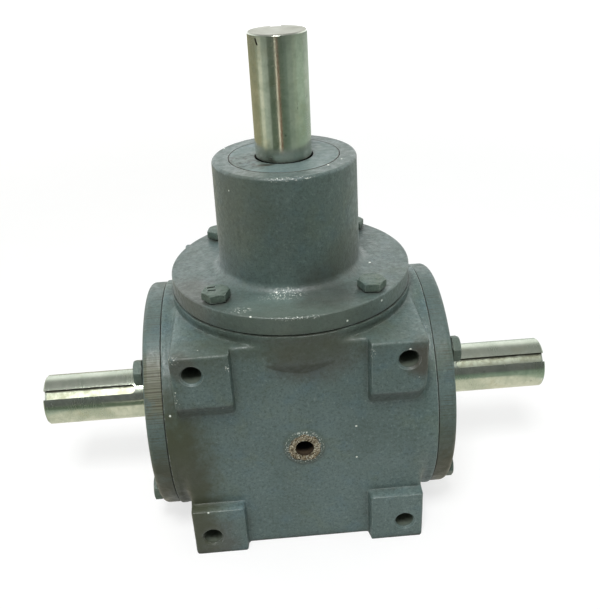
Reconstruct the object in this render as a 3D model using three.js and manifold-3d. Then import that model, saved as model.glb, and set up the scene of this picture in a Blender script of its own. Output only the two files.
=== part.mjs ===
// Three-way industrial bevel gearbox: one vertical input shaft drives a cross shaft that comes out
// on both sides of a cast case. Millimetres, +Z up. The origin lies on the floor, straight under
// the point where the two shaft axes cross. +X runs along the cross shaft and -Y is the front.
import * as THREE from "three";
import { mergeVertices } from "three/addons/utils/BufferGeometryUtils.js";
import Module from "manifold-3d";

const wasm = await Module();
wasm.setup();

// ---- Driving dimensions ----
const INCH = 25.4;
const AXIS_HEIGHT = 57.5; // floor to the crossing of the shaft axes
const FIT = 0.3; // gap kept between pieces that touch
const SLIP = 0.2; // clearance of a bore round what it holds
const OVERCUT = 1; // how far a cutter runs past the face it opens

const SHAFT_R = INCH / 2;
const CROSS_REACH = 129.2; // crossing to each end of the cross shaft
const INPUT_REACH = 176.6; // crossing to the top of the input shaft
const KEYWAY_WIDTH = INCH * (3 / 16);
const KEYWAY_DEPTH = INCH / 8;
const KEYWAY_LENGTH = 46.5;
const CROSS_KEYWAY_TILT = 44; // degrees above the front
const SHAFT_CHAMFER = 0.6;

const CASE_HALF_X = 56; // plain sides of the case, behind the round bosses
const CASE_HALF_Y = 55; // plain front and back of the case
const CASE_TOP = 56.5;
const CASE_EDGE = 3; // bevel of the case's outer edges
const CAVITY_R = 46;
const CAVITY_END = 48;
const BORE_R = 42; // the three machined openings
const BOSS_R = 57.4; // round bosses about the openings
const BOSS_CONE = 2.4; // how far the inner end of a boss tapers in
const BOSS_CONE_LENGTH = 5.5;
const BOSS_ROOT = 5; // length of a boss that lies inside the case wall
const SIDE_FACE = 62.1; // crossing to each machined side face
const SIDE_BOSS_START = 47;
const TOP_FACE = 61.2; // crossing to the machined top face
const TOP_BOSS_START = 41;

const PAD_FACE = 60.2; // crossing to the faces of the front and back pads
const PAD_INNER = 30.5; // inner edges of the pads
const PAD_DRAFT = 4; // slope of the pads' inner sides
const PAD_HOLE_PITCH = 94.2;
const PAD_HOLE_R = 4.4;
const PAD_HOLE_DEPTH = 17;
const PORT_BOSS_R = 9.3;
const PORT_BOSS_FACE = 56.2;
const PORT_R = 4.3; // tap size of a 1/8 in pipe thread

const GASKET_THICKNESS = 0.4;
const GASKET_INSET = 0.8; // how far its rim stands back from the cover's
const COVER_R = 57;
const COVER_THICKNESS = 8.3;
const FLANGE_THICKNESS = 8.2;
const PILOT_R = 41.7;
const HUB_R = 32.8;
const HUB_TOP = 123;
const HUB_FILLET = 4;
const HUB_CHAMFER = 1;
const HUB_DRAFT = 0.7; // how much wider the hub is at its foot

const BOLT_CIRCLE_R = 49;
const BOLT_R = INCH / 8;
const BOLT_COAT = 0.1; // thickness of the paint on a bolt's head
const BOLT_HEAD_FLATS = INCH * (7 / 16) + 2 * BOLT_COAT;
const BOLT_HEAD_HEIGHT = INCH * (5 / 32) + 2 * BOLT_COAT;
const BOLT_LENGTH = 19;
const BOLT_TIP_GAP = 1; // from the bolt's tip to the foot of its hole
const BOLTS_PER_COVER = 4;

const BEARING_OUTER_R = 25.1;
const BEARING_WIDTH = 14.2;
const BEARING_CUP_WIDTH = 10.8;
const CONE_WIDTH = 13.6;
const CONE_RIB_R = 19.4;
const CONE_RIB_WIDTH = 1.7;
const CONE_LARGE_R = 17.6;
const CONE_SMALL_R = 15.4;
const CUP_SMALL_R = 20.9;
const CUP_LARGE_R = 23.1;
const ROLLERS = 12;
const ROLLER_LOW = 2.2; // from the cone's back face to the rollers' large ends
const ROLLER_HIGH = 12;
const ROLLER_LARGE_R = 2.15;
const ROLLER_SMALL_R = 1.85;
const ROLLER_PATH_R = 20.15; // bearing axis to a roller's axis at its large end
const ROLLER_SLOPE = 0.2;
const CAGE_THICKNESS = 0.9;
const CAGE_INSET = 0.4; // from the rollers' large ends to the cage
const CAGE_OVERHANG = 1; // past the rollers' small ends
const SEAT_R = BEARING_OUTER_R + SLIP; // bores that hold the bearing cups and the oil seals
const CUP_LIP_R = 21.5; // shoulder that holds a bearing cup
const SEAL_WIDTH = 5.6;
const SEAL_RECESS_R = 13.6;
const SEAL_LIP_START = 1;
const SEAL_LIP_END = 4;

const TEETH = 18;
const PITCH_R = 1.5 * INCH; // at the large end of the teeth
const FACE_WIDTH = 15;
const BACKLASH = 0.35; // taken off the thickness of each tooth at the large end
const GEAR_FRONT = 23; // crossing to the hub face of each gear
const GEAR_BACK = 48; // crossing to the back of each gear's hub
const GEAR_HUB_R = 20;
const GEAR_BACK_HUB_R = 22;
const GEAR_BACK_HUB_START = 40;
const GEAR_RIM_R = 30; // where the back of the teeth meets the back face
const GEAR_RIM_HEIGHT = 44.5;
const CROSS_SEAT_R = 14.3; // the cross shaft where its gear sits
const CROSS_SHOULDER_R = 15.9;

const BEARING_START = GEAR_BACK + FIT; // inner end of the bearings that carry the gears
const UPPER_BEARING_START = 95;
const NUT_WIDTH = 5;
const NUT_R = 18.5;
const NUT_NOTCH_DEPTH = 2.5;
const NUT_NOTCH_WIDTH = 4;
const RING_R = 16;
const RING_WIDTH = 1.2;
const RING_GROOVE_R = 11.6;
const RING_GAP = 5;
const RING_START = GEAR_FRONT - FIT - RING_WIDTH;
const INPUT_BOTTOM = 19; // lower end of the input shaft
const PLUG_PROUD = 1.2;
const PLUG_SOCKET = 4.8;
const PLUG_SOCKET_DEPTH = 4.5;

const FINE = 36; // facets round the case, covers and flange
const MEDIUM = 24; // facets round the bearings and shafts
const COARSE = 10; // facets round holes and bolt shanks

const degrees = (angle) => (angle * Math.PI) / 180;

// ---- Materials ----
const paint = (color, roughness) => new THREE.MeshStandardMaterial({ color, roughness, metalness: 0.1 });
const metal = (color, roughness) => new THREE.MeshStandardMaterial({ color, roughness, metalness: 1 });
const CASE_PAINT = paint(0x5d6b69, 0.55);
const COVER_PAINT = paint(0x66736f, 0.55);
const BOLT_PAINT = paint(0x4a5450, 0.5);
const SHAFT_STEEL = metal(0xb9b6a8, 0.25);
const GEAR_STEEL = metal(0x8f8f8a, 0.35);
const BEARING_STEEL = metal(0xc9cbcc, 0.15);
const CAGE_STEEL = metal(0x9a9c9d, 0.3);
const KEY_STEEL = metal(0x8a8a86, 0.4);
const SEAL_FACE = paint(0x6f7c78, 0.6);
const GASKET_PAPER = new THREE.MeshStandardMaterial({ color: 0x1d1f1c, roughness: 0.9, metalness: 0 });

// ---- Solids ----
// A closed geometry as a solid; a profile given the other way round is turned to face out.
function solidOf(geometry) {
  const bare = geometry.clone();
  bare.deleteAttribute("normal");
  bare.deleteAttribute("uv");
  const merged = mergeVertices(bare, 1e-4);
  const build = (triVerts) =>
    new wasm.Manifold(
      new wasm.Mesh({
        numProp: 3,
        vertProperties: new Float32Array(merged.attributes.position.array),
        triVerts,
      }),
    );
  const triangles = new Uint32Array(merged.index.array);
  const solid = build(triangles);
  return solid.volume() < 0 ? build(triangles.reverse()) : solid;
}

function geometryOf(solid) {
  const { numProp, vertProperties, triVerts } = solid.getMesh();
  const positions = new Float32Array((vertProperties.length / numProp) * 3);
  for (let i = 0; i < positions.length / 3; i++) {
    positions.set(vertProperties.subarray(i * numProp, i * numProp + 3), i * 3);
  }
  const geometry = new THREE.BufferGeometry();
  geometry.setAttribute("position", new THREE.BufferAttribute(positions, 3));
  geometry.setIndex(new THREE.BufferAttribute(new Uint32Array(triVerts), 1));
  geometry.computeVertexNormals();
  return geometry;
}

// Everything round is drawn about +Z and then turned to where it points.
const UP = new THREE.Matrix4();
const RIGHT = new THREE.Matrix4().makeRotationY(Math.PI / 2);
const LEFT = new THREE.Matrix4().makeRotationY(-Math.PI / 2);
const FRONT = new THREE.Matrix4().makeRotationX(Math.PI / 2);
const BACK = new THREE.Matrix4().makeRotationX(-Math.PI / 2);

const place = (geometry, matrix = UP) => solidOf(geometry.applyMatrix4(matrix));

// A profile of [radius, height] pairs turned about +Z.
function turned(profile, facets, matrix = UP) {
  const points = profile.map(([radius, height]) => new THREE.Vector2(radius, height));
  return place(new THREE.LatheGeometry(points, facets).rotateX(Math.PI / 2), matrix);
}

const disc = (radius, from, to, facets, matrix) =>
  turned([[0, from], [radius, from], [radius, to], [0, to]], facets, matrix);

// A ring whose profile of [radius, height] pairs closes on itself.
const ring = (profile, facets, matrix) => turned([...profile, profile[0]], facets, matrix);

function block(low, high, matrix) {
  const size = high.map((value, i) => value - low[i]);
  const centre = high.map((value, i) => (value + low[i]) / 2);
  return place(new THREE.BoxGeometry(...size).translate(...centre), matrix);
}

// A closed skin through rings of equal point count, with a flat fan over each end.
function loft(rings, matrix) {
  const count = rings[0].length;
  const positions = rings.flat().flatMap((point) => point.toArray());
  const index = [];
  for (let r = 0; r + 1 < rings.length; r++) {
    for (let i = 0; i < count; i++) {
      const a = r * count + i;
      const b = r * count + ((i + 1) % count);
      index.push(a, b, b + count, a, b + count, a + count);
    }
  }
  for (const [first, flip] of [[0, true], [(rings.length - 1) * count, false]]) {
    const centre = positions.length / 3;
    const middle = new THREE.Vector3();
    rings[first / count].forEach((point) => middle.addScaledVector(point, 1 / count));
    positions.push(...middle.toArray());
    for (let i = 0; i < count; i++) {
      const a = first + i;
      const b = first + ((i + 1) % count);
      index.push(centre, flip ? b : a, flip ? a : b);
    }
  }
  const geometry = new THREE.BufferGeometry();
  geometry.setAttribute("position", new THREE.BufferAttribute(new Float32Array(positions), 3));
  geometry.setIndex(index);
  return place(geometry, matrix);
}

// A matrix that first moves a shape out to the bolt circle, then turns it round the axis.
function onCircle(radius, angle) {
  const out = new THREE.Matrix4().makeTranslation(radius, 0, 0);
  return new THREE.Matrix4().makeRotationZ(degrees(angle)).multiply(out);
}
const boltAngles = Array.from({ length: BOLTS_PER_COVER }, (_, i) => 45 + (i * 360) / BOLTS_PER_COVER);

function drillBoltCircle(solid, from, to, matrix = UP) {
  let drilled = solid;
  for (const angle of boltAngles) {
    const hole = matrix.clone().multiply(onCircle(BOLT_CIRCLE_R, angle));
    drilled = drilled.subtract(disc(BOLT_R + FIT, from, to, COARSE, hole));
  }
  return drilled;
}

// ---- Gear case ----
function caseBody() {
  const width = 2 * (CASE_HALF_X - CASE_EDGE);
  const bottom = -AXIS_HEIGHT + CASE_EDGE;
  const outline = new THREE.Shape([
    new THREE.Vector2(-width / 2, bottom),
    new THREE.Vector2(width / 2, bottom),
    new THREE.Vector2(width / 2, CASE_TOP - CASE_EDGE),
    new THREE.Vector2(-width / 2, CASE_TOP - CASE_EDGE),
  ]);
  const depth = 2 * (CASE_HALF_Y - CASE_EDGE);
  const geometry = new THREE.ExtrudeGeometry(outline, {
    depth,
    bevelThickness: CASE_EDGE,
    bevelSize: CASE_EDGE,
    bevelSegments: 2,
  });
  return solidOf(geometry.translate(0, 0, -depth / 2).rotateX(Math.PI / 2));
}

function roundBoss(start, face, matrix) {
  const [root, foot] = [start - BOSS_ROOT, BOSS_R - BOSS_CONE];
  return turned(
    [[0, root], [foot, root], [foot, start], [BOSS_R, start + BOSS_CONE_LENGTH], [BOSS_R, face], [0, face]],
    FINE,
    matrix,
  );
}

// One corner pad: its outer sides are flush with the case and its inner sides slope into it.
function cornerPad(sideX, sideY, sideZ) {
  const outerZ = sideZ > 0 ? CASE_TOP : -AXIS_HEIGHT;
  const outline = (depth, slope) => {
    const x = [PAD_INNER - slope, CASE_HALF_X];
    const z = [sideZ * (PAD_INNER - slope), outerZ];
    return [[0, 0], [1, 0], [1, 1], [0, 1]].map(
      ([i, j]) => new THREE.Vector3(sideX * x[i], sideY * depth, z[j]),
    );
  };
  return loft([
    outline(CASE_HALF_Y - CASE_EDGE, PAD_DRAFT),
    outline(CASE_HALF_Y, PAD_DRAFT),
    outline(PAD_FACE, 0),
  ]);
}

function padHole(sideX, sideY, sideZ) {
  const matrix = new THREE.Matrix4()
    .makeTranslation((sideX * PAD_HOLE_PITCH) / 2, 0, (sideZ * PAD_HOLE_PITCH) / 2)
    .multiply(sideY < 0 ? FRONT : BACK);
  return disc(PAD_HOLE_R, PAD_FACE - PAD_HOLE_DEPTH, PAD_FACE + OVERCUT, COARSE, matrix);
}

function gearCase() {
  let body = caseBody()
    .add(roundBoss(SIDE_BOSS_START, SIDE_FACE, RIGHT))
    .add(roundBoss(SIDE_BOSS_START, SIDE_FACE, LEFT))
    .add(roundBoss(TOP_BOSS_START, TOP_FACE, UP));
  const corners = [];
  for (const sideX of [-1, 1]) {
    for (const sideY of [-1, 1]) {
      for (const sideZ of [-1, 1]) corners.push([sideX, sideY, sideZ]);
    }
  }
  for (const corner of corners) body = body.add(cornerPad(...corner));
  for (const matrix of [FRONT, BACK]) {
    body = body.add(disc(PORT_BOSS_R, CAVITY_R, PORT_BOSS_FACE, FINE / 2, matrix));
  }
  body = body
    .subtract(disc(CAVITY_R, -CAVITY_END, CAVITY_END, MEDIUM, RIGHT))
    .subtract(disc(CAVITY_R, -CAVITY_R, CAVITY_END, MEDIUM, UP))
    .subtract(disc(BORE_R, 0, SIDE_FACE + OVERCUT, FINE, RIGHT))
    .subtract(disc(BORE_R, 0, SIDE_FACE + OVERCUT, FINE, LEFT))
    .subtract(disc(BORE_R, 0, TOP_FACE + OVERCUT, FINE, UP));
  for (const matrix of [FRONT, BACK]) {
    body = body.subtract(disc(PORT_R, 0, PORT_BOSS_FACE + OVERCUT, COARSE, matrix));
  }
  for (const corner of corners) body = body.subtract(padHole(...corner));
  const boltDepth = BOLT_LENGTH - COVER_THICKNESS;
  body = drillBoltCircle(body, SIDE_FACE - boltDepth, SIDE_FACE + OVERCUT, RIGHT);
  body = drillBoltCircle(body, SIDE_FACE - boltDepth, SIDE_FACE + OVERCUT, LEFT);
  return drillBoltCircle(body, TOP_FACE - boltDepth, TOP_FACE + OVERCUT, UP);
}

// ---- Covers, gaskets and bolts, drawn about +Z with Z measured from the crossing ----
const gasketStart = (face) => face + FIT;
const coverStart = (face) => gasketStart(face) + GASKET_THICKNESS + FIT;

function gasket(face) {
  const from = gasketStart(face);
  const to = from + GASKET_THICKNESS;
  const [inner, outer] = [BORE_R + 0.5, COVER_R - GASKET_INSET];
  const sheet = ring([[inner, from], [outer, from], [outer, to], [inner, to]], FINE);
  return drillBoltCircle(sheet, from - OVERCUT, to + OVERCUT);
}

// Flat cover: a bearing cup sits in its pilot, held in by a lip, with the oil seal outside the lip.
function sideCover() {
  const from = coverStart(SIDE_FACE);
  const outside = from + COVER_THICKNESS;
  const lip = BEARING_START + BEARING_WIDTH + FIT;
  const seal = outside - SEAL_WIDTH - FIT;
  const cover = ring(
    [[SEAT_R, BEARING_START], [PILOT_R, BEARING_START], [PILOT_R, from], [COVER_R, from],
      [COVER_R, outside], [SEAT_R, outside], [SEAT_R, seal], [CUP_LIP_R, seal], [CUP_LIP_R, lip],
      [SEAT_R, lip]],
    FINE,
  );
  return drillBoltCircle(cover, from - OVERCUT, outside + OVERCUT);
}

// Flange and tall hub that carry the input shaft's two bearings and its seal.
function inputHousing() {
  const from = coverStart(TOP_FACE);
  const top = from + FLANGE_THICKNESS;
  const lowerLip = BEARING_START + BEARING_WIDTH + FIT;
  const upperLip = UPPER_BEARING_START - FIT;
  const fillet = [0, 30, 60, 90].map((angle) => [
    HUB_R + HUB_DRAFT + HUB_FILLET * (1 - Math.sin(degrees(angle))),
    top + HUB_FILLET * (1 - Math.cos(degrees(angle))),
  ]);
  const housing = ring(
    [[SEAT_R, BEARING_START], [PILOT_R, BEARING_START], [PILOT_R, from], [COVER_R, from],
      [COVER_R, top], ...fillet, [HUB_R, HUB_TOP - HUB_CHAMFER], [HUB_R - HUB_CHAMFER, HUB_TOP],
      [SEAT_R, HUB_TOP], [SEAT_R, upperLip], [CUP_LIP_R, upperLip], [CUP_LIP_R, lowerLip],
      [SEAT_R, lowerLip]],
    FINE,
  );
  return drillBoltCircle(housing, from - OVERCUT, top + OVERCUT);
}

function hexBolt(coverThickness, face) {
  const under = coverStart(face) + coverThickness + FIT;
  const acrossCorners = BOLT_HEAD_FLATS / Math.cos(degrees(30));
  const head = disc(acrossCorners / 2, under, under + BOLT_HEAD_HEIGHT, 6);
  return head.add(disc(BOLT_R, under - BOLT_LENGTH + BOLT_TIP_GAP, under + OVERCUT, COARSE));
}

// ---- Tapered roller bearing, from its cone's back face at 0 to its cup's back face ----
const rollerMid = (height) => ROLLER_PATH_R - (height - ROLLER_LOW) * ROLLER_SLOPE;

function bearingCone() {
  const bore = SHAFT_R + SLIP;
  return ring(
    [[bore, 0], [CONE_RIB_R, 0], [CONE_RIB_R, CONE_RIB_WIDTH], [CONE_LARGE_R, CONE_RIB_WIDTH + SLIP],
      [CONE_SMALL_R, CONE_WIDTH], [bore, CONE_WIDTH]],
    MEDIUM,
  );
}

function bearingCup() {
  const front = BEARING_WIDTH - BEARING_CUP_WIDTH;
  return ring(
    [[CUP_LARGE_R, front], [BEARING_OUTER_R, front], [BEARING_OUTER_R, BEARING_WIDTH],
      [CUP_SMALL_R, BEARING_WIDTH]],
    MEDIUM,
  );
}

function bearingRollers() {
  const band = CAGE_THICKNESS / 2;
  const [low, high] = [ROLLER_LOW + CAGE_INSET, ROLLER_HIGH + CAGE_OVERHANG];
  const [lowR, highR] = [rollerMid(ROLLER_LOW), rollerMid(ROLLER_HIGH)];
  let cage = ring(
    [[lowR - band, low], [lowR + band, low], [highR + band, high], [highR - band, high]],
    MEDIUM,
  );
  const length = ROLLER_HIGH - ROLLER_LOW;
  const middle = (ROLLER_HIGH + ROLLER_LOW) / 2;
  for (let i = 0; i < ROLLERS; i++) {
    const roller = new THREE.CylinderGeometry(ROLLER_SMALL_R, ROLLER_LARGE_R, length, 6).rotateX(Math.PI / 2);
    roller.rotateY(-Math.atan(ROLLER_SLOPE)).translate(rollerMid(middle), 0, middle);
    cage = cage.add(place(roller.rotateZ((i * 2 * Math.PI) / ROLLERS)));
  }
  return cage;
}

const bearingParts = { cup: bearingCup(), cone: bearingCone(), rollers: bearingRollers() };

// ---- Oil seal, from its inner face at 0 to its outer face ----
function oilSeal() {
  const lip = SHAFT_R + FIT;
  return ring(
    [[lip, SEAL_LIP_START], [SEAL_RECESS_R, 0], [BEARING_OUTER_R, 0], [BEARING_OUTER_R, SEAL_WIDTH],
      [SEAL_RECESS_R, SEAL_WIDTH], [lip, SEAL_LIP_END]],
    MEDIUM,
  );
}

// ---- Bevel gears with their apex at the crossing ----
const CONE_DISTANCE = PITCH_R * Math.SQRT2;
const MODULE = (2 * PITCH_R) / TEETH;
const DEDENDUM = 1.2 * MODULE;
const FLANK_MIDDLE = 0.1 * MODULE; // a flank's middle point lies this far inside the pitch cone
const PRESSURE_ANGLE = degrees(20);
const involute = (angle) => Math.tan(angle) - angle;

// Half the angle of a tooth at distance rho from the tip of the back cone, where teeth are involutes.
function halfToothAngle(rho) {
  const baseRho = CONE_DISTANCE * Math.cos(PRESSURE_ANGLE);
  const pressure = rho > baseRho ? Math.acos(baseRho / rho) : 0;
  const atPitch = (Math.PI * MODULE - BACKLASH * 2) / (4 * CONE_DISTANCE);
  return atPitch + involute(PRESSURE_ANGLE) - involute(pressure);
}

function toothRing(scale, turn) {
  const rhos = [-DEDENDUM, -FLANK_MIDDLE, MODULE].map((step) => CONE_DISTANCE + step);
  const corners = [...rhos.map((rho) => [rho, -1]), ...rhos.reverse().map((rho) => [rho, 1])];
  const points = [];
  for (let tooth = 0; tooth < TEETH; tooth++) {
    for (const [rho, side] of corners) {
      const angle = ((tooth + turn) * 2 * Math.PI) / TEETH + side * halfToothAngle(rho) * Math.SQRT2;
      const radius = rho * Math.SQRT1_2;
      const height = 2 * PITCH_R - radius;
      const point = new THREE.Vector3(radius * Math.cos(angle), radius * Math.sin(angle), height);
      points.push(point.multiplyScalar(scale));
    }
  }
  return points;
}

// turn shifts the teeth round by that share of one tooth.
function bevelGear(boreR, turn) {
  const heel = toothRing(1, turn);
  const toe = toothRing((CONE_DISTANCE - FACE_WIDTH) / CONE_DISTANCE, turn);
  const circle = (radius, height) =>
    heel.map(({ x, y }) => new THREE.Vector3(x, y, 0).setLength(radius).setZ(height));
  const blank = loft([circle(GEAR_HUB_R, GEAR_FRONT), toe, heel, circle(GEAR_RIM_R, GEAR_RIM_HEIGHT)]);
  return blank
    .add(disc(GEAR_BACK_HUB_R, GEAR_BACK_HUB_START, GEAR_BACK, MEDIUM))
    .subtract(disc(boreR, 0, GEAR_BACK + OVERCUT, MEDIUM));
}

// ---- Keyways and keys ----
// A slot in a shaft along +Z that opens towards +X, with the round end of the cutter at its foot.
function keyway(radius, from, to, matrix) {
  const [floor, mouth, half] = [radius - KEYWAY_DEPTH, radius + OVERCUT, KEYWAY_WIDTH / 2];
  const slot = block([floor, -half, from], [mouth, half, to]);
  const end = new THREE.CylinderGeometry(half, half, mouth - floor, COARSE)
    .rotateZ(Math.PI / 2)
    .translate((mouth + floor) / 2, 0, from);
  return solidOf(geometryOf(slot.add(solidOf(end))).applyMatrix4(matrix));
}

// A square key with FIT left all round, half in the shaft and half in the gear.
const key = (radius, from, to) =>
  block(
    [radius - KEYWAY_DEPTH + FIT, -KEYWAY_WIDTH / 2 + FIT, from],
    [radius + KEYWAY_DEPTH - FIT, KEYWAY_WIDTH / 2 - FIT, to],
  );

function keyedGear(boreR, turn) {
  const half = KEYWAY_WIDTH / 2;
  const slot = block([0, -half, 0], [boreR + KEYWAY_DEPTH, half, GEAR_BACK + OVERCUT]);
  return bevelGear(boreR, turn).subtract(slot);
}

const GEAR_KEY_SPAN = [GEAR_FRONT + 3, GEAR_BACK - 3];
const KEY_CLEARANCE = 1; // the key stops this far short of its keyway's ends
const gearKeyway = (radius) =>
  block(
    [radius - KEYWAY_DEPTH, -KEYWAY_WIDTH / 2, GEAR_KEY_SPAN[0] - KEY_CLEARANCE],
    [radius + OVERCUT, KEYWAY_WIDTH / 2, GEAR_KEY_SPAN[1] + KEY_CLEARANCE],
  );

// ---- Shafts, drawn about +Z ----
const REAR_KEYWAY = new THREE.Matrix4().makeRotationZ(Math.PI / 2);

function inputShaft() {
  const groove = [RING_START - FIT, RING_START + RING_WIDTH + FIT];
  const shaft = turned(
    [[0, INPUT_BOTTOM], [SHAFT_R - SHAFT_CHAMFER, INPUT_BOTTOM], [SHAFT_R, INPUT_BOTTOM + SHAFT_CHAMFER],
      [SHAFT_R, groove[0]], [RING_GROOVE_R, groove[0]], [RING_GROOVE_R, groove[1]], [SHAFT_R, groove[1]],
      [SHAFT_R, INPUT_REACH - SHAFT_CHAMFER], [SHAFT_R - SHAFT_CHAMFER, INPUT_REACH], [0, INPUT_REACH]],
    MEDIUM,
  );
  return shaft
    .subtract(gearKeyway(SHAFT_R))
    .subtract(keyway(SHAFT_R, INPUT_REACH - KEYWAY_LENGTH, INPUT_REACH + OVERCUT, REAR_KEYWAY));
}

// Drawn with its gear end up; the far half mirrors the bearing seat and the keyed end.
function crossShaft() {
  const end = (side) => [
    [SHAFT_R, side * GEAR_BACK],
    [SHAFT_R, side * (CROSS_REACH - SHAFT_CHAMFER)],
    [SHAFT_R - SHAFT_CHAMFER, side * CROSS_REACH],
    [0, side * CROSS_REACH],
  ];
  const shaft = turned(
    [...end(-1).reverse(), [CROSS_SHOULDER_R, -GEAR_BACK], [CROSS_SHOULDER_R, GEAR_FRONT - FIT],
      [CROSS_SEAT_R, GEAR_FRONT - FIT], [CROSS_SEAT_R, GEAR_BACK], ...end(1)],
    MEDIUM,
  );
  const tilt = new THREE.Matrix4().makeRotationZ(degrees(-90 - CROSS_KEYWAY_TILT));
  const farEnd = tilt.clone().multiply(new THREE.Matrix4().makeScale(1, 1, -1));
  const from = CROSS_REACH - KEYWAY_LENGTH + KEYWAY_WIDTH / 2;
  return shaft
    .subtract(gearKeyway(CROSS_SEAT_R))
    .subtract(keyway(SHAFT_R, from, CROSS_REACH + OVERCUT, tilt))
    .subtract(keyway(SHAFT_R, from, CROSS_REACH + OVERCUT, farEnd));
}

// ---- Small turned pieces ----
function locknut() {
  const from = UPPER_BEARING_START + BEARING_WIDTH + FIT;
  const to = from + NUT_WIDTH;
  const bore = SHAFT_R + SLIP;
  const notchLow = [NUT_R - NUT_NOTCH_DEPTH, -NUT_NOTCH_WIDTH / 2, from - OVERCUT];
  const notchHigh = [NUT_R + OVERCUT, NUT_NOTCH_WIDTH / 2, to + OVERCUT];
  let nut = ring([[bore, from], [NUT_R, from], [NUT_R, to], [bore, to]], MEDIUM);
  for (const angle of boltAngles) {
    nut = nut.subtract(block(notchLow, notchHigh, new THREE.Matrix4().makeRotationZ(degrees(angle))));
  }
  return nut;
}

// Open spring ring that keeps the pinion on the end of the input shaft.
function retainingRing() {
  const [inner, to] = [RING_GROOVE_R + FIT, RING_START + RING_WIDTH];
  const closed = ring([[inner, RING_START], [RING_R, RING_START], [RING_R, to], [inner, to]], MEDIUM);
  const low = [0, -RING_GAP / 2, RING_START - OVERCUT];
  return closed.subtract(block(low, [RING_R + OVERCUT, RING_GAP / 2, to + OVERCUT]));
}

// Pipe plug with a square socket, a little proud of the rear boss.
function pipePlug() {
  const to = PORT_BOSS_FACE + PLUG_PROUD;
  const plug = disc(PORT_R - FIT, CAVITY_R + 1, to, COARSE);
  const half = PLUG_SOCKET / 2;
  return plug.subtract(block([-half, -half, to - PLUG_SOCKET_DEPTH], [half, half, to + OVERCUT]));
}

// ---- Assembly ----
const gearbox = new THREE.Group();
const crossing = new THREE.Group();
crossing.position.z = AXIS_HEIGHT;
gearbox.add(crossing);

// Groups whose +Z points up, to the right and to the left.
const [upward, rightward, leftward] = [0, 1, -1].map((side) => {
  const group = new THREE.Group();
  group.rotation.y = (side * Math.PI) / 2;
  crossing.add(group);
  return group;
});

function addPiece(parent, name, solid, material, height = 0, turn = 0) {
  const mesh = new THREE.Mesh(geometryOf(solid), material);
  mesh.name = name;
  mesh.position.z = height;
  mesh.rotation.z = degrees(turn);
  parent.add(mesh);
  return mesh;
}

function addBearing(parent, prefix, height, upsideDown = false) {
  const bearing = new THREE.Group();
  bearing.position.z = height;
  if (upsideDown) {
    bearing.position.z += BEARING_WIDTH;
    bearing.rotation.x = Math.PI;
  }
  parent.add(bearing);
  addPiece(bearing, `${prefix}_bearing_cup`, bearingParts.cup, BEARING_STEEL);
  addPiece(bearing, `${prefix}_bearing_cone`, bearingParts.cone, BEARING_STEEL);
  addPiece(bearing, `${prefix}_bearing_rollers`, bearingParts.rollers, CAGE_STEEL);
}

function addBolts(parent, prefix, coverThickness, face, headTurns) {
  const bolt = hexBolt(coverThickness, face);
  boltAngles.forEach((angle, i) => {
    const holder = new THREE.Group();
    holder.rotation.z = degrees(angle);
    parent.add(holder);
    const mesh = addPiece(holder, `${prefix}_bolt_${i + 1}`, bolt, BOLT_PAINT, 0, headTurns[i] - angle);
    mesh.position.x = BOLT_CIRCLE_R;
  });
}

addPiece(crossing, "gear_case", gearCase(), CASE_PAINT);

const sideSealStart = coverStart(SIDE_FACE) + COVER_THICKNESS - SEAL_WIDTH;
for (const [group, side, headTurns] of [
  [rightward, "right", [5, 22, 6, 28]],
  [leftward, "left", [9, 25, 0, 57]],
]) {
  addPiece(group, `${side}_side_cover`, sideCover(), COVER_PAINT);
  addPiece(group, `${side}_cover_gasket`, gasket(SIDE_FACE), GASKET_PAPER);
  addPiece(group, `${side}_oil_seal`, oilSeal(), SEAL_FACE, sideSealStart);
  addBearing(group, side, BEARING_START);
  addBolts(group, `${side}_cover`, COVER_THICKNESS, SIDE_FACE, headTurns);
}

addPiece(upward, "input_bearing_housing", inputHousing(), COVER_PAINT);
addPiece(upward, "input_housing_gasket", gasket(TOP_FACE), GASKET_PAPER);
addPiece(upward, "input_oil_seal", oilSeal(), SEAL_FACE, HUB_TOP - SEAL_WIDTH);
addBearing(upward, "lower_input", BEARING_START);
addBearing(upward, "upper_input", UPPER_BEARING_START, true);
addBolts(upward, "input_housing", FLANGE_THICKNESS, TOP_FACE, [8, 20, 9, -6]);

addPiece(upward, "input_shaft", inputShaft(), SHAFT_STEEL);
addPiece(upward, "input_pinion", keyedGear(SHAFT_R + SLIP, 0), GEAR_STEEL);
addPiece(upward, "pinion_key", key(SHAFT_R, ...GEAR_KEY_SPAN), KEY_STEEL);
addPiece(upward, "pinion_retaining_ring", retainingRing(), KEY_STEEL);
addPiece(upward, "input_locknut", locknut(), KEY_STEEL);

addPiece(rightward, "cross_shaft", crossShaft(), SHAFT_STEEL);
addPiece(rightward, "cross_shaft_gear", keyedGear(CROSS_SEAT_R + SLIP, 0.5), GEAR_STEEL);
addPiece(rightward, "gear_key", key(CROSS_SEAT_R, ...GEAR_KEY_SPAN), KEY_STEEL);

const rearward = new THREE.Group();
rearward.rotation.x = -Math.PI / 2;
crossing.add(rearward);
addPiece(rearward, "rear_pipe_plug", pipePlug(), BOLT_PAINT);

export default gearbox;
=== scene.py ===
"""Looks of a three-way bevel gearbox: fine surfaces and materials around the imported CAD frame.

Shapes are drawn in millimetres about the point where the two shaft axes cross, with +Z up, -Y to the
front and +X to the right, and go into the frame, in metres, when they become pieces. Everything round
is drawn about +Z and then turned to where it points."""

import math
from collections import namedtuple

import bmesh
import bpy
import numpy as np
from mathutils import Matrix, Vector


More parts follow.
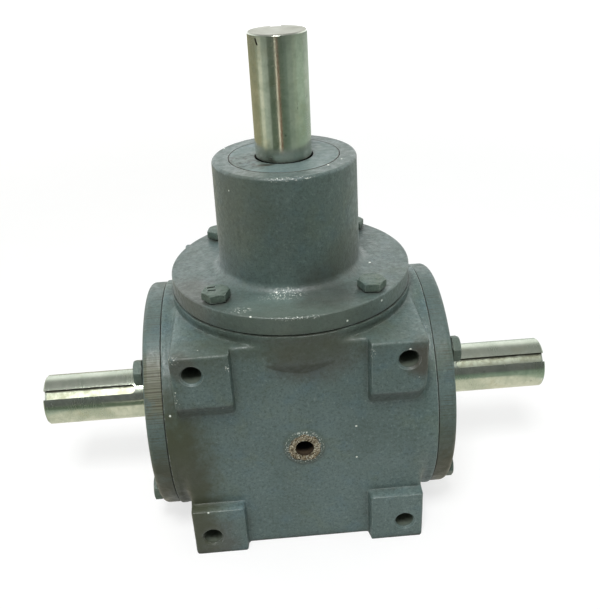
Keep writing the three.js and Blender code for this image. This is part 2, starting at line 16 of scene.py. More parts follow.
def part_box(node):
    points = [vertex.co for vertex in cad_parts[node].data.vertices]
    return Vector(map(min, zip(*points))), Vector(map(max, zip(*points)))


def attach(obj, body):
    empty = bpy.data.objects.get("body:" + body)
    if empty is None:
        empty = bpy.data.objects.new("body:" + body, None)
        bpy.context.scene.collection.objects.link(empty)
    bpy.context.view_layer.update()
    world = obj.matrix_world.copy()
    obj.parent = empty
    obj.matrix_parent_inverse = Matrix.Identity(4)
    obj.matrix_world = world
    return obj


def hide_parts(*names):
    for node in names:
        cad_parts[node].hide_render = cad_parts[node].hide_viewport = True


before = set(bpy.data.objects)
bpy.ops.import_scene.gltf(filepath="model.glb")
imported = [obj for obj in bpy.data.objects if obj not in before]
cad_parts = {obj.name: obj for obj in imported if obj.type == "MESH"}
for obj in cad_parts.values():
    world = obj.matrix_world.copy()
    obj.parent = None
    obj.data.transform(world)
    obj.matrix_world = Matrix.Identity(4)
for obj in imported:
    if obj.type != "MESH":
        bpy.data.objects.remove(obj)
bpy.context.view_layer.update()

# ---- The frame's own sizes ----
METRES = 0.001


def spin(degrees, axis="Z"):
    return Matrix.Rotation(math.radians(degrees), 4, axis)


def shift(x, y, z):
    return Matrix.Translation((x, y, z))


UP = Matrix.Identity(4)
RIGHT = spin(90, "Y")
LEFT = spin(-90, "Y")
FRONT = spin(90, "X")
BACK = spin(-90, "X")

shaft_low, shaft_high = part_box("cross_shaft")
AXIS_HEIGHT = (shaft_low.z + shaft_high.z) / 2
TO_FRAME = shift(0, 0, AXIS_HEIGHT) @ Matrix.Scale(METRES, 4)
FROM_FRAME = TO_FRAME.inverted()

Round = namedtuple("Round", "inner outer start end")


def measured(node, direction):
    """Least and greatest radius of a node about a direction, and where it starts and ends along it."""
    turn = direction.inverted() @ FROM_FRAME
    points = np.array([turn @ v.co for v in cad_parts[node].data.vertices])
    radii = np.hypot(points[:, 0], points[:, 1])
    return Round(radii.min(), radii.max(), points[:, 2].min(), points[:, 2].max())


case_low, case_high = (FROM_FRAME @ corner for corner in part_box("gear_case"))
FLOOR = case_low.z
SIDE_FACE = case_high.x
PAD_FACE = case_high.y
TOP_FACE = case_high.z
HOUSING = measured("input_bearing_housing", UP)
COVER = measured("right_side_cover", RIGHT)
SEAL = measured("right_oil_seal", RIGHT)
INPUT_SEAL = measured("input_oil_seal", UP)
GASKET = measured("right_cover_gasket", RIGHT)
TOP_GASKET = measured("input_housing_gasket", UP)
CUP = measured("right_bearing_cup", RIGHT)
CONE = measured("right_bearing_cone", RIGHT)
UPPER_CONE = measured("upper_input_bearing_cone", UP)
CROSS_SHAFT = measured("cross_shaft", RIGHT)
INPUT_SHAFT = measured("input_shaft", UP)
GEAR = measured("cross_shaft_gear", RIGHT)
LOCKNUT = measured("input_locknut", UP)
RING = measured("pinion_retaining_ring", UP)
PLUG = measured("rear_pipe_plug", BACK)

# ---- Detail sizes, in millimetres ----
CAST_STEP = 0.8  # spacing of the grid that the casting's skin is found on
CASE_HALF_X = 56
CASE_HALF_Y = 55
CASE_TOP = 56.5
CAVITY_R = 46
CAVITY_END = 48
BORE_R = 42
BOSS_R = 57.4
BOSS_TAPER = 2.4
BOSS_TAPER_LENGTH = 5.5
SIDE_BOSS_START = 47
TOP_BOSS_START = 41
RIM_R = 57.7  # thin ledge of the case just behind each cover
RIM_WIDTH = 2
CAST_FILLET = 2.6
PAD_FILLET = 0.6
NECK_FILLET = 0.6

PAD_INNER = 30.5
PAD_DRAFT = 0.13
PAD_UNDERSIDE_SLOPE = 1.63
PAD_HOLE = 47.1
PAD_HOLE_R = 4.4
PAD_HOLE_DEPTH = 17
PORT_BOSS_R = 9.2
PORT_FACE = 56.2
PORT_R = 4.3
PIPE_PITCH = 0.94

BOLT_CIRCLE_R = 49
BOLT_ANGLES = (45, 135, 225, 315)
BOLT_R = 3.175
BOLT_HOLE_R = BOLT_R + 0.3
BOLT_LENGTH = 19
HEAD_FLATS = 11.3
HEAD_CORNER = HEAD_FLATS / 2 / math.cos(math.radians(30))
HEAD_HEIGHT = 4.15
HEAD_GAP = 0.3
GOUGED_BOLT = "input_housing_bolt_3"
FLANGE_TOP = 70.4
HUB_R = 32.8
SEAT_R = CUP.outer + 0.2
SHAFT_R = 12.7
KEYWAY_WIDTH = 4.7625
KEYWAY_DEPTH = 3.175
KEYWAY_LENGTH = 46.5
CROSS_KEYWAY_TILT = 44  # degrees above the front
GEAR_SEAT_R = 14.3  # the cross shaft where its gear sits
SEAL_RECESS_R = 13.3
BEARING_WIDTH = CUP.end - CONE.start
CONE_WIDTH = CONE.end - CONE.start
PRESSED = 0.25  # how far a face reaches into the gap that the frame keeps on each side of a gasket
COVER_BACK = GASKET.end + 0.3 - PRESSED  # where a side cover's flange starts
HOUSING_BACK = TOP_GASKET.end + 0.3 - PRESSED
PILOT_R = BORE_R - 0.3
LIP_GAP = 0.3


# ---- Mesh tools ----
def mesh_of(bm):
    mesh = bpy.data.meshes.new("shape")
    bmesh.ops.recalc_face_normals(bm, faces=bm.faces)
    bm.to_mesh(mesh)
    bm.free()
    return mesh


def polygons(vertices, faces):
    mesh = bpy.data.meshes.new("shape")
    mesh.from_pydata(vertices, [], faces)
    mesh.update()
    return mesh


def new_object(name, data):
    thing = bpy.data.objects.new(name, data)
    bpy.context.scene.collection.objects.link(thing)
    return thing


def rounded(corners):
    """Profile points from (radius, height) corners, where one that also gives a fillet becomes an arc."""
    points = []
    for i, (radius, height, *fillet) in enumerate(corners):
        here = Vector((radius, height))
        if not fillet:
            points.append(here)
            continue
        before = (Vector(corners[i - 1][:2]) - here).normalized()
        after = (Vector(corners[(i + 1) % len(corners)][:2]) - here).normalized()
        half = before.angle(after) / 2
        centre = here + (before + after).normalized() * fillet[0] / math.sin(half)
        start = here + before * fillet[0] / math.tan(half) - centre
        end = here + after * fillet[0] / math.tan(half) - centre
        sweep = start.angle(end)
        steps = max(2, round(sweep / math.radians(15)))
        for step in range(steps + 1):
            share = step / steps
            arc = start * math.sin((1 - share) * sweep) + end * math.sin(share * sweep)
            points.append(centre + arc / math.sin(sweep))
    return points


def lathe(corners, segments=96, closed=True):
    """A closed mesh: a profile turned about +Z. An open profile starts and ends on the axis."""
    bm = bmesh.new()
    rings = []
    for radius, height in rounded(corners):
        if radius < 1e-6:
            rings.append([bm.verts.new((0, 0, height))] * segments)
            continue
        angles = (2 * math.pi * i / segments for i in range(segments))
        rings.append([bm.verts.new((radius * math.cos(a), radius * math.sin(a), height)) for a in angles])
    for low, high in zip(rings, rings[1:] + rings[:1] * closed):
        for i in range(segments):
            j = (i + 1) % segments
            corners_of_face = list(dict.fromkeys((low[i], low[j], high[j], high[i])))
            if len(corners_of_face) > 2:
                bm.faces.new(corners_of_face)
    return mesh_of(bm)


def disc(radius, start, end, segments=48):
    return lathe([(0, start), (radius, start), (radius, end), (0, end)], segments, closed=False)


def block(low, high):
    bm = bmesh.new()
    low, high = Vector(low), Vector(high)
    size = Matrix.Diagonal((*(high - low), 1))
    bmesh.ops.create_cube(bm, size=1, matrix=shift(*(low + high) / 2) @ size)
    return mesh_of(bm)


def loft(rings):
    """A closed skin through rings of equal point count, with a flat face over each end."""
    bm = bmesh.new()
    verts = [[bm.verts.new(point) for point in ring] for ring in rings]
    for low, high in zip(verts, verts[1:]):
        for i in range(len(low)):
            j = (i + 1) % len(low)
            bm.faces.new((low[i], low[j], high[j], high[i]))
    bm.faces.new(verts[0])
    bm.faces.new(verts[-1])
    return mesh_of(bm)


def moved(mesh, matrix):
    copy = mesh.copy()
    copy.transform(matrix)
    return copy


def together(meshes):
    """Separate closed shapes as one mesh."""
    bm = bmesh.new()
    for mesh in meshes:
        bm.from_mesh(mesh)
    return mesh_of(bm)


def boolean(mesh, other, operation):
    pair = [new_object("work", m) for m in (mesh, other)]
    modifier = pair[0].modifiers.new("boolean", "BOOLEAN")
    modifier.object = pair[1]
    modifier.operation = operation
    modifier.solver = "MANIFOLD"
    graph = bpy.context.evaluated_depsgraph_get()
    result = bpy.data.meshes.new_from_object(pair[0].evaluated_get(graph))
    for thing in pair:
        bpy.data.objects.remove(thing)
    return result


def cut(mesh, *cutters):
    for cutter in cutters:
        mesh = boolean(mesh, cutter, "DIFFERENCE")
    return mesh


def bolt_holes(start, end):
    """Cutters for one bolt circle, drawn about +Z."""
    hole = disc(BOLT_HOLE_R, start, end)
    return [moved(hole, spin(angle) @ shift(BOLT_CIRCLE_R, 0, 0)) for angle in BOLT_ANGLES]


# ---- Materials ----
Finish = namedtuple("Finish", "material slot")


def add_node(tree, kind, inputs=(), **settings):
    """A shader node; each input is a value, or an output of another node."""
    node = tree.nodes.new("ShaderNode" + kind)
    for name, value in settings.items():
        setattr(node, name, value)
    for name, value in dict(inputs).items():
        if isinstance(value, bpy.types.NodeSocket):
            tree.links.new(value, node.inputs[name])
        else:
            node.inputs[name].default_value = value
    return node


def ramp(tree, value, low, high, to_low=0.0, to_high=1.0):
    inputs = {"Value": value, "From Min": low, "From Max": high, "To Min": to_low, "To Max": to_high}
    return add_node(tree, "MapRange", inputs, interpolation_type="SMOOTHSTEP").outputs["Result"]


def mixed(tree, factor, a, b):
    """One colour fading into another; each is a tone, or an output of another node."""
    first, second = ((*tone, 1) if isinstance(tone, tuple) else tone for tone in (a, b))
    return add_node(tree, "Mix", {"Factor": factor, 6: first, 7: second}, data_type="RGBA").outputs[2]


class Surface:
    """A procedural material in the frame's own coordinates, whose colour is laid on coat by coat.

    Places and reaches are in millimetres about the crossing. Noise scales are per metre."""

    def __init__(self, name, tone=None, **constants):
        self.tone = tone
        self.material = bpy.data.materials.new(name)
        self.material.use_nodes = True
        self.tree = self.material.node_tree
        self.shader = self.tree.nodes["Principled BSDF"]
        for socket, value in constants.items():
            self.shader.inputs[socket.replace("_", " ")].default_value = value
        self.place = self.add("TexCoord").outputs["Object"]
        self.colour = self.height = self.roughness = None

    def add(self, kind, inputs=(), **settings):
        return add_node(self.tree, kind, inputs, **settings)

    def maths(self, operation, a, b=0.0, c=0.0):
        return self.add("Math", {0: a, 1: b, 2: c}, operation=operation).outputs[0]

    def ramp(self, value, low, high, to_low=0.0, to_high=1.0):
        return ramp(self.tree, value, low, high, to_low, to_high)

    def band(self, distance, low, high, to_low=0.0, to_high=1.0):
        """A ramp of a distance in metres between two distances in millimetres."""
        return self.ramp(distance, low * METRES, high * METRES, to_low, to_high)

    def mixed(self, factor, a, b):
        return mixed(self.tree, factor, a, b)

    def both(self, *masks):
        product = masks[0]
        for mask in masks[1:]:
            product = self.maths("MULTIPLY", product, mask)
        return product

    def coat(self, tone, *masks):
        """Covers the colour so far with a tone where all the masks meet."""
        self.colour = self.mixed(self.both(*masks), self.colour, tone)

    def tint(self, factors, *masks):
        """A coat of the surface's own tone with its red, green and blue scaled."""
        self.coat(scaled(self.tone, factors), *masks)

    def noise(self, scale, detail=3.0, roughness=0.55, vector=None, distortion=0.0):
        inputs = {"Vector": vector or self.place, "Scale": scale, "Detail": detail,
                  "Roughness": roughness, "Distortion": distortion}
        return self.add("TexNoise", inputs).outputs[0]

    def blotches(self, texture, low, high, to_low=0.0, to_high=1.0, distortion=0.0):
        """Noise of a (scale, detail, roughness) texture between two levels."""
        return self.ramp(self.noise(*texture, distortion=distortion), low, high, to_low, to_high)

    def from_crossing(self, point=(0, 0, 0)):
        centre = TO_FRAME @ Vector(point)
        return self.add("VectorMath", {0: self.place, 1: centre}, operation="SUBTRACT").outputs[0]

    def distance_to(self, point, squeeze=(1, 1, 1)):
        """Distance in metres from a point."""
        inputs = {0: self.from_crossing(point), 1: squeeze}
        scaled_down = self.add("VectorMath", inputs, operation="MULTIPLY").outputs[0]
        return self.add("VectorMath", {0: scaled_down}, operation="LENGTH").outputs["Value"]

    def across(self, axis):
        """Distance in metres from one of the axes through the crossing."""
        return self.distance_to((0, 0, 0), [float(letter != axis) for letter in "XYZ"])

    def along(self, direction):
        """Distance in metres from the crossing along a direction."""
        inputs = {0: self.from_crossing(), 1: direction}
        return self.add("VectorMath", inputs, operation="DOT_PRODUCT").outputs["Value"]

    def ragged(self):
        """Noise about 0 that makes the outlines of patches uneven."""
        return self.maths("SUBTRACT", self.noise(130, 4, 0.7), 0.5)

    def patch(self, point, reach, ragged, squeeze=(1, 1, 1)):
        """1 inside a ragged patch about a point, 0 outside."""
        edge = self.maths("MULTIPLY", ragged, reach * METRES)
        distance = self.maths("ADD", self.distance_to(point, squeeze), edge)
        return self.band(distance, reach * 1.5, reach * 0.6)

    def edges(self, reach):
        """1 on outward edges, 0 on flats and in corners."""
        soft = self.add("Bevel", {"Radius": reach * METRES}, samples=6).outputs[0]
        true = self.add("NewGeometry").outputs["Normal"]
        agree = self.add("VectorMath", {0: soft, 1: true}, operation="DOT_PRODUCT").outputs["Value"]
        return self.ramp(agree, 0.995, 0.85)

    def crevices(self, reach):
        """1 deep in corners, 0 on open faces."""
        open_share = self.add("AmbientOcclusion", {"Distance": reach * METRES}, samples=6).outputs["AO"]
        return self.ramp(open_share, 0.95, 0.45)

    def link(self, value, socket):
        self.tree.links.new(value, self.shader.inputs[socket])

    def finish(self, slot, depth):
        """Links what has been laid on, with the height as a bump of a depth."""
        bump = self.add("Bump", {"Height": self.height, "Distance": depth * METRES, "Strength": 1.0})
        self.link(self.colour, "Base Color")
        self.link(self.roughness, "Roughness")
        self.link(bump.outputs[0], "Normal")
        return Finish(self.material, slot)


OLIVE_GRIME = (0.055, 0.062, 0.035)
BROWN_GRIME = (0.070, 0.052, 0.035)
# Dark dirt, also laid on as painted shade in corners and under the upper pads.
DARK_DIRT_AND_SHADE = (0.030, 0.032, 0.023)
WORN_PAINT = (0.42, 0.46, 0.44)
# Pale specks of paint, also laid on as painted glints.
PALE_SPECK_AND_GLINT = (0.78, 0.82, 0.74)


def scaled(tone, factors):
    return tuple(a * b for a, b in zip(tone, factors))


def paint(name, slot, tone, grain, wear=0.6, stains_and_painted_highlights=(), painted_glints_and_chips=(), specks=True, detail=None,
          ior=1.45, sheen=0.0):
    """Old machine enamel over a casting: mottled, with painted shade and some dirt in its corners, worn
    along its edges, and with painted glints and pale chips where listed.

    detail lays on the coats that belong to one place."""
    skin = Surface(name, tone, IOR=ior, Sheen_Weight=sheen)
    light, dark = scaled(tone, (1.12, 1.12, 1.14)), scaled(tone, (0.84, 0.86, 0.84))
    skin.colour = skin.mixed(skin.blotches((26, 4, 0.6), 0.3, 0.7), dark, light)
    skin.tint((0.86, 0.99, 1.17), skin.blotches((95, 3), 0.5, 0.75, 0, 0.6))
    warm = skin.blotches((60, 4, 0.65), 0.52, 0.72, 0, 0.5, distortion=0.6)
    skin.tint((1.10, 1.01, 0.78), warm)
    mottle = skin.noise(600, 3, 0.65)
    skin.tint((0.5, 0.53, 0.46), skin.ramp(mottle, 0.52, 0.70, 0, 0.6 * grain))
    skin.tint((1.7, 1.6, 1.6), skin.ramp(mottle, 0.46, 0.29, 0, 0.55 * grain))
    grit = skin.noise(1300, 2, 0.6)
    skin.tint((0.5, 0.5, 0.48), skin.ramp(grit, 0.48, 0.72, 0, 0.6 * grain))
    ragged = skin.ragged()
    for point, reach, stain, strength, squeeze in stains_and_painted_highlights:
        skin.coat(stain, skin.patch(point, reach, ragged, squeeze), strength)
    # Painted shade with some dirt: corners found by ambient occlusion are darkened in blotches.
    deep = skin.crevices(4)
    skin.coat(DARK_DIRT_AND_SHADE, deep, skin.blotches((180, 4), 0.3, 0.65, 0.25, 0.85))
    chips = skin.blotches((300, 4, 0.75), 0.42, 0.58)
    skin.coat(WORN_PAINT, skin.edges(0.8), chips, skin.maths("SUBTRACT", 1.0, deep), wear)
    # Painted glints: bright grains where highlights fall. On the case the same grains make pale chips at the
    # pads' edges.
    for point, reach, squeeze in painted_glints_and_chips:
        grains = skin.ramp(grit, 0.575, 0.63)
        skin.coat(PALE_SPECK_AND_GLINT, skin.patch(point, reach, ragged, squeeze), grains, 0.75)
    if specks:
        cells = skin.add("TexVoronoi", {"Vector": skin.place, "Scale": 118, "Randomness": 1.0})
        near = skin.ramp(cells.outputs["Distance"], 0.072, 0.05)
        skin.coat(PALE_SPECK_AND_GLINT, near, skin.maths("GREATER_THAN", cells.outputs["Color"], 0.58), 0.95)
    swell = skin.maths("MULTIPLY", skin.noise(330, 3), 0.16 * grain)
    pebbles = skin.maths("MULTIPLY_ADD", mottle, 0.13 * grain, swell)
    skin.height = skin.maths("MULTIPLY_ADD", grit, 0.07 * grain, pebbles)
    skin.roughness = skin.blotches((300, 3), 0.3, 0.7, 0.34, 0.56)
    if detail is not None:
        detail(skin)
    return skin.finish(slot, 1.0)


def port_detail(skin):
    """Crumbling sealant round the front port's mouth, brown at the mouth of its bore, and painted shade
    deeper down the bore.
    """
    radius, depth = skin.across("Y"), skin.along((0, -1, 0))
    front = skin.band(depth, CASE_HALF_Y - 0.7, CASE_HALF_Y + 0.1)
    crumbs = skin.noise(620, 4, 0.75)
    grains = skin.noise(1500, 2, 0.6)
    wander = skin.maths("MULTIPLY_ADD", skin.noise(300, 3), 3.6 * METRES, -1.8 * METRES)
    outward = skin.maths("ADD", radius, wander)
    ring = skin.both(skin.band(outward, PORT_BOSS_R - 1.4, PORT_BOSS_R - 2.2), front)
    boss = skin.band(radius, PORT_BOSS_R + 0.6, PORT_BOSS_R - 0.4)
    skin.coat(OLIVE_GRIME, skin.band(outward, PORT_BOSS_R + 2.8, PORT_BOSS_R - 0.7), front, 0.4)
    skin.coat(PALE_SPECK_AND_GLINT, boss, front, skin.ramp(grains, 0.58, 0.64), 0.7)
    sealant = skin.mixed(skin.ramp(crumbs, 0.36, 0.56), (0.075, 0.054, 0.028), (0.31, 0.26, 0.165))
    sealant = skin.mixed(skin.ramp(grains, 0.54, 0.62, 0, 0.9), sealant, (0.72, 0.70, 0.56))
    sealant = skin.mixed(skin.ramp(grains, 0.42, 0.34, 0, 0.8), sealant, (0.05, 0.038, 0.022))
    skin.coat(sealant, ring)
    mouth = skin.maths("ADD", radius, skin.maths("MULTIPLY", wander, 0.35))
    bore = skin.both(skin.band(mouth, PORT_R + 1.2, PORT_R + 0.6),
                     skin.band(depth, PORT_FACE, PORT_FACE - 0.7))
    skin.coat((0.052, 0.036, 0.020), bore)
    # Painted shade: near black deeper down the bore.
    skin.coat((0.006, 0.006, 0.005), skin.band(radius, PORT_R + 1.7, PORT_R + 0.7),
              skin.band(depth, PORT_FACE - 2.2, PORT_FACE - 6.2))
    skin.roughness = skin.maths("MAXIMUM", skin.roughness, skin.maths("MAXIMUM", ring, bore))
    raised = skin.both(ring, skin.maths("MULTIPLY_ADD", crumbs, 1.9, 0.3))
    skin.height = skin.maths("ADD", skin.height, raised)


def case_detail(skin):
    """The port, a flat tone in the pad holes set for how dark they look, painted shade with some dirt under
    the top boss, and painted shade under the upper pads.
    """
    port_detail(skin)
    depth, up = skin.along((0, -1, 0)), skin.along((0, 0, 1))
    sideways = skin.maths("ABSOLUTE", skin.along((1, 0, 0)))
    squares = []
    for part in (sideways, skin.maths("ABSOLUTE", up)):
        offset = skin.maths("SUBTRACT", part, PAD_HOLE * METRES)
        squares.append(skin.both(offset, offset))
    from_hole = skin.maths("SQRT", skin.maths("ADD", *squares))
    deep = skin.band(skin.maths("ABSOLUTE", depth), PAD_FACE - 0.7, PAD_FACE - 2.5)
    near_hole = skin.band(from_hole, PAD_HOLE_R + 0.5, PAD_HOLE_R + 0.2)
    # Painted shade: the walls of the pad holes get one flat tone, set for how dark the holes look.
    skin.coat((0.115, 0.135, 0.105), near_hole, deep, 0.9)
    # Painted shade with some dirt: a dark, blotchy band under the top boss's bulge on the front.
    skin.coat(
        (0.045, 0.055, 0.036), skin.band(depth, CASE_HALF_Y + 0.08, CASE_HALF_Y + 0.35),
        skin.band(up, TOP_BOSS_START - 1.5, TOP_BOSS_START - 0.5),
        skin.band(up, TOP_BOSS_START + 6.5, TOP_BOSS_START + 4.5), skin.band(sideways, 24, 16),
        skin.blotches((160, 4, 0.65), 0.3, 0.6, 0.45, 0.85))
    # Painted shade: a dark band on the sloping undersides of the upper pads.
    skin.coat(DARK_DIRT_AND_SHADE, skin.band(depth, CASE_HALF_Y + 0.4, CASE_HALF_Y + 0.9),
              skin.band(up, PAD_INNER - 9.5, PAD_INNER - 8),
              skin.band(up, PAD_INNER, PAD_INNER - 1), 0.42)


def rim_detail(skin):
    """Fine lines across a cover's rim, left by turning, that hold brown dirt towards the front."""
    up = skin.along((0, 0, 1))
    angle = skin.maths("ARCTAN2", up, skin.along((0, -1, 0)))
    on_rim = skin.band(skin.across("X"), COVER.outer - 1.4, COVER.outer - 0.5)
    fine = skin.add("TexNoise", {"W": angle, "Scale": 72, "Detail": 2}, noise_dimensions="1D").outputs[0]
    lines = skin.ramp(fine, 0.46, 0.60)
    arc = skin.both(skin.ramp(angle, 0.30, 0.50), skin.ramp(angle, 0.98, 0.76))
    left = skin.band(skin.along((-1, 0, 0)), 50, 60)
    tan = skin.both(on_rim, arc, left, skin.blotches((85, 4, 0.65), 0.34, 0.52), 0.72)
    skin.coat((0.180, 0.180, 0.112), tan)
    skin.coat((0.050, 0.046, 0.030), lines, tan, 0.9)
    skin.coat((0.075, 0.062, 0.040), lines, on_rim, skin.blotches((70, 3), 0.4, 0.6, 0.12, 0.5))
    # Darker towards the bottom of the cover.
    lower_darkening = skin.blotches((110, 4, 0.65), 0.35, 0.6, 0.6, 1.0)
    skin.coat((0.046, 0.052, 0.031), skin.band(up, 22, -12), lower_darkening)


def seal_detail(skin, axis="X"):
    """A seal's black lip inside its painted metal face, and dirt in the seam round its outer edge."""
    radius = skin.across(axis)
    skin.coat(DARK_DIRT_AND_SHADE, skin.band(radius, SEAL.outer - 0.55, SEAL.outer - 0.25, 0, 0.85))
    skin.coat((0.012, 0.012, 0.010), skin.band(radius, SEAL_RECESS_R + 0.15, SEAL_RECESS_R - 0.1))


def splashed_seal_detail(skin):
    """The top seal's face, with dark splashes to the left of the shaft."""
    seal_detail(skin, "Z")
    ragged = skin.ragged()
    left = skin.patch((-17, -7, INPUT_SEAL.end), 9, ragged, (0.9, 0.9, 1))
    skin.coat(OLIVE_GRIME, left, 0.3)
    skin.coat(DARK_DIRT_AND_SHADE, left, skin.blotches((330, 4, 0.75), 0.50, 0.60, 0, 0.9, distortion=0.8))
    skin.coat(DARK_DIRT_AND_SHADE, skin.patch((-9, -13.5, INPUT_SEAL.end), 2.2, ragged, (0.6, 1.6, 1)))


def keyed_end(skin, axis, end, opening):
    """A milled keyway with a pale floor whose lower side is darkened as a painted reflection, walls darkened
    as painted shade with some grime, and a dull end face.

    A shaft that lies down has its top painted darker and warmer: a painted dimming of what it mirrors."""
    # Painted reflection: the top of a shaft that lies down is dimmed and warmed.
    if axis == "X":
        sky_side_dimming = skin.band(skin.along((0, 0, 1)), 5.5, 10.5, 0, 0.42)
        skin.tint((0.68, 0.65, 0.58), sky_side_dimming)
    direction = Vector([float(letter == axis) for letter in "XYZ"])
    across_slot = skin.along(opening.cross(direction))
    end_ways = skin.along(direction)
    reach = skin.maths("ABSOLUTE", end_ways)
    inside = skin.both(skin.band(skin.across(axis), SHAFT_R - 0.2, SHAFT_R - 0.35),
                       skin.band(reach, end - 0.9, end - 1.0))
    milled = skin.blotches((210, 4, 0.7), 0.35, 0.65)
    dirty, clean = scaled(skin.tone, (0.66, 0.62, 0.50)), scaled(skin.tone, (1.12, 1.10, 1.0))
    # Painted reflection: the floor's lower side, towards the far end, is darkened as if it mirrored
    # something dark.
    lower = skin.band(across_slot, 0.3 * KEYWAY_WIDTH, -0.5 * KEYWAY_WIDTH)
    far_end = skin.band(end_ways, -10, 10)
    painted_dark_reflection = skin.both(lower, far_end, 0.8)
    floor_tone = skin.mixed(painted_dark_reflection, skin.mixed(milled, dirty, clean), scaled(skin.tone, (0.25, 0.26, 0.23)))
    skin.coat(floor_tone, inside)
    # Painted shade with some grime: the slot's walls are made dark.
    beside = skin.maths("ABSOLUTE", across_slot)
    wall = skin.band(beside, KEYWAY_WIDTH / 2 - 0.25, KEYWAY_WIDTH / 2 - 0.08)
    skin.coat((0.05, 0.043, 0.032), inside, wall)
    cap = skin.band(reach, end - 0.25, end - 0.05)
    skin.tint((0.62, 0.60, 0.56), cap)
    dull = skin.maths("MULTIPLY", skin.maths("ADD", inside, cap), 0.24)
    skin.roughness = skin.maths("ADD", skin.roughness, dull)


def steel(name, slot, tone, roughness, axis, stain=0.35, end=0, opening=None):
    """Bare turned or ground steel whose fine tool marks go round an axis.

    opening is the direction that a keyway faces, and end is how far the shaft reaches."""
    skin = Surface(name, tone, Metallic=1.0, Anisotropic=0.25)
    scales = [26 if letter == axis else 1 for letter in "XYZ"]
    turned = skin.add("Mapping", {"Vector": skin.place, "Scale": scales}).outputs[0]
    marks = skin.noise(120, 4, 0.7, vector=turned)
    cloud = skin.noise(45, 5, 0.65, distortion=0.4)
    light, dark = scaled(tone, (1.06, 1.04, 1.04)), scaled(tone, (0.76, 0.79, 0.76))
    skin.colour = skin.mixed(skin.ramp(cloud, 0.38, 0.62), light, dark)
    skin.tint((0.72, 0.76, 0.72), skin.blotches((190, 5, 0.75), 0.45, 0.66, 0, 0.4))
    skin.tint((0.78, 0.68, 0.5), skin.blotches((85, 5, 0.7), 0.52, 0.72, 0, stain))
    skin.tint((0.35, 0.35, 0.35), skin.blotches((520, 3, 0.6), 0.66, 0.74, 0, 0.6))
    # Painted shade with some grime: darker in corners that ambient occlusion finds.
    skin.coat((0.045, 0.038, 0.026), skin.crevices(3), 0.75)
    tarnished = skin.maths("MULTIPLY", skin.ramp(cloud, 0.45, 0.75), 0.12)
    ground = skin.ramp(marks, 0.3, 0.7, roughness - 0.05, roughness + 0.06)
    skin.roughness = skin.maths("ADD", ground, tarnished)
    skin.height = marks
    if opening is not None:
        keyed_end(skin, axis, end, opening)
    return skin.finish(slot, 0.012)


def gasket_paper():
    skin = Surface("gasket_paper")
    fibres = skin.noise(800, 4, 0.7)
    share = skin.ramp(fibres, 0.3, 0.7)
    skin.colour = skin.mixed(share, (0.028, 0.033, 0.030), (0.050, 0.058, 0.050))
    skin.roughness = skin.ramp(fibres, 0.3, 0.7, 0.8, 0.95)
    skin.height = fibres
    return skin.finish("gasket", 0.05)


PAINT_TONE = (0.105, 0.150, 0.141)
SEAL_TONE = (0.122, 0.170, 0.162)
CASE_PAINT = paint(
    "case_enamel", "case_paint", scaled(PAINT_TONE, (1.06, 1.06, 1.06)), 1.0, detail=case_detail,
    stains_and_painted_highlights=[
        ((6, -CASE_HALF_Y, 50), 18, BROWN_GRIME, 0.45, (1, 0.4, 1.4)),
        ((-44, -PAD_FACE, 56), 14, OLIVE_GRIME, 0.25, (1, 1, 1.2)),
        ((-51, -PAD_FACE, 51), 6, BROWN_GRIME, 0.45, (1, 1, 1)),
        ((54, -PAD_FACE, 47), 8, BROWN_GRIME, 0.7, (1, 1, 1)),
        ((-50, -PAD_FACE, -50), 14, BROWN_GRIME, 0.5, (1, 1, 1)),
        ((-60, -50, -20), 20, OLIVE_GRIME, 0.95, (1.2, 0.5, 0.4)),
        ((0, -52, 60), 22, OLIVE_GRIME, 0.45, (0.5, 1, 2)),
    ],
    # Pale chips on the pads' edges and corners.
    painted_glints_and_chips=[
        ((-55, -PAD_FACE, 55.5), 2.2, (0.8, 1, 1.2)),
        ((-55.5, -PAD_FACE, 35), 2.4, (1.4, 1, 0.7)),
        ((-31, -PAD_FACE, 50), 1.8, (1.4, 1, 0.8)),
        ((31, -PAD_FACE, 52), 1.8, (1.4, 1, 0.8)),
    ])
COVER_PAINT = paint(
    "cover_enamel", "cover_paint", PAINT_TONE, 0.7, detail=rim_detail,
    stains_and_painted_highlights=[((0, -COVER.outer, -45), 30, OLIVE_GRIME, 0.5, (0, 1, 1))])
HOUSING_PAINT = paint(
    "housing_enamel", "cover_paint", scaled(PAINT_TONE, (0.69, 0.74, 0.71)), 1.1, wear=0.85, ior=1.7,
    sheen=0.14,
    stains_and_painted_highlights=[
        # Painted highlight: a lighter patch on the front of the flange top.
        ((-2, -46, FLANGE_TOP), 11, scaled(PAINT_TONE, (1.2, 1.25, 1.2)), 0.7, (0.5, 1, 1)),
        ((0, -57, 65), 16, OLIVE_GRIME, 0.45, (0.4, 1, 1.5)),
        ((-20, -26, 112), 12, OLIVE_GRIME, 0.4, (1, 1, 0.6)),
        ((26, -22, 82), 12, OLIVE_GRIME, 0.5, (1, 1, 1)),
        ((14, -38, 71), 11, DARK_DIRT_AND_SHADE, 0.6, (0.8, 1, 1)),
        ((-48, -30, 66), 16, BROWN_GRIME, 0.4, (1, 1, 1)),
    ],
    # Painted glints on the hub fillet, the flange's front edge and the top rim of the hub.
    painted_glints_and_chips=[
        ((-6, -37.5, 72), 4.2, (0.42, 1.3, 1.3)),
        ((-25, -47, FLANGE_TOP), 2.6, (0.5, 1.2, 1.2)),
        ((-4, -57, FLANGE_TOP - 0.2), 1.2, (0.05, 1, 1)),
        ((3, -32, 122.5), 1.6, (0.12, 1.2, 1.6)),
    ])
BOLT_PAINT = paint("bolt_enamel", "bolt_paint", (0.096, 0.134, 0.108), 1.0, wear=0.4, specks=False)
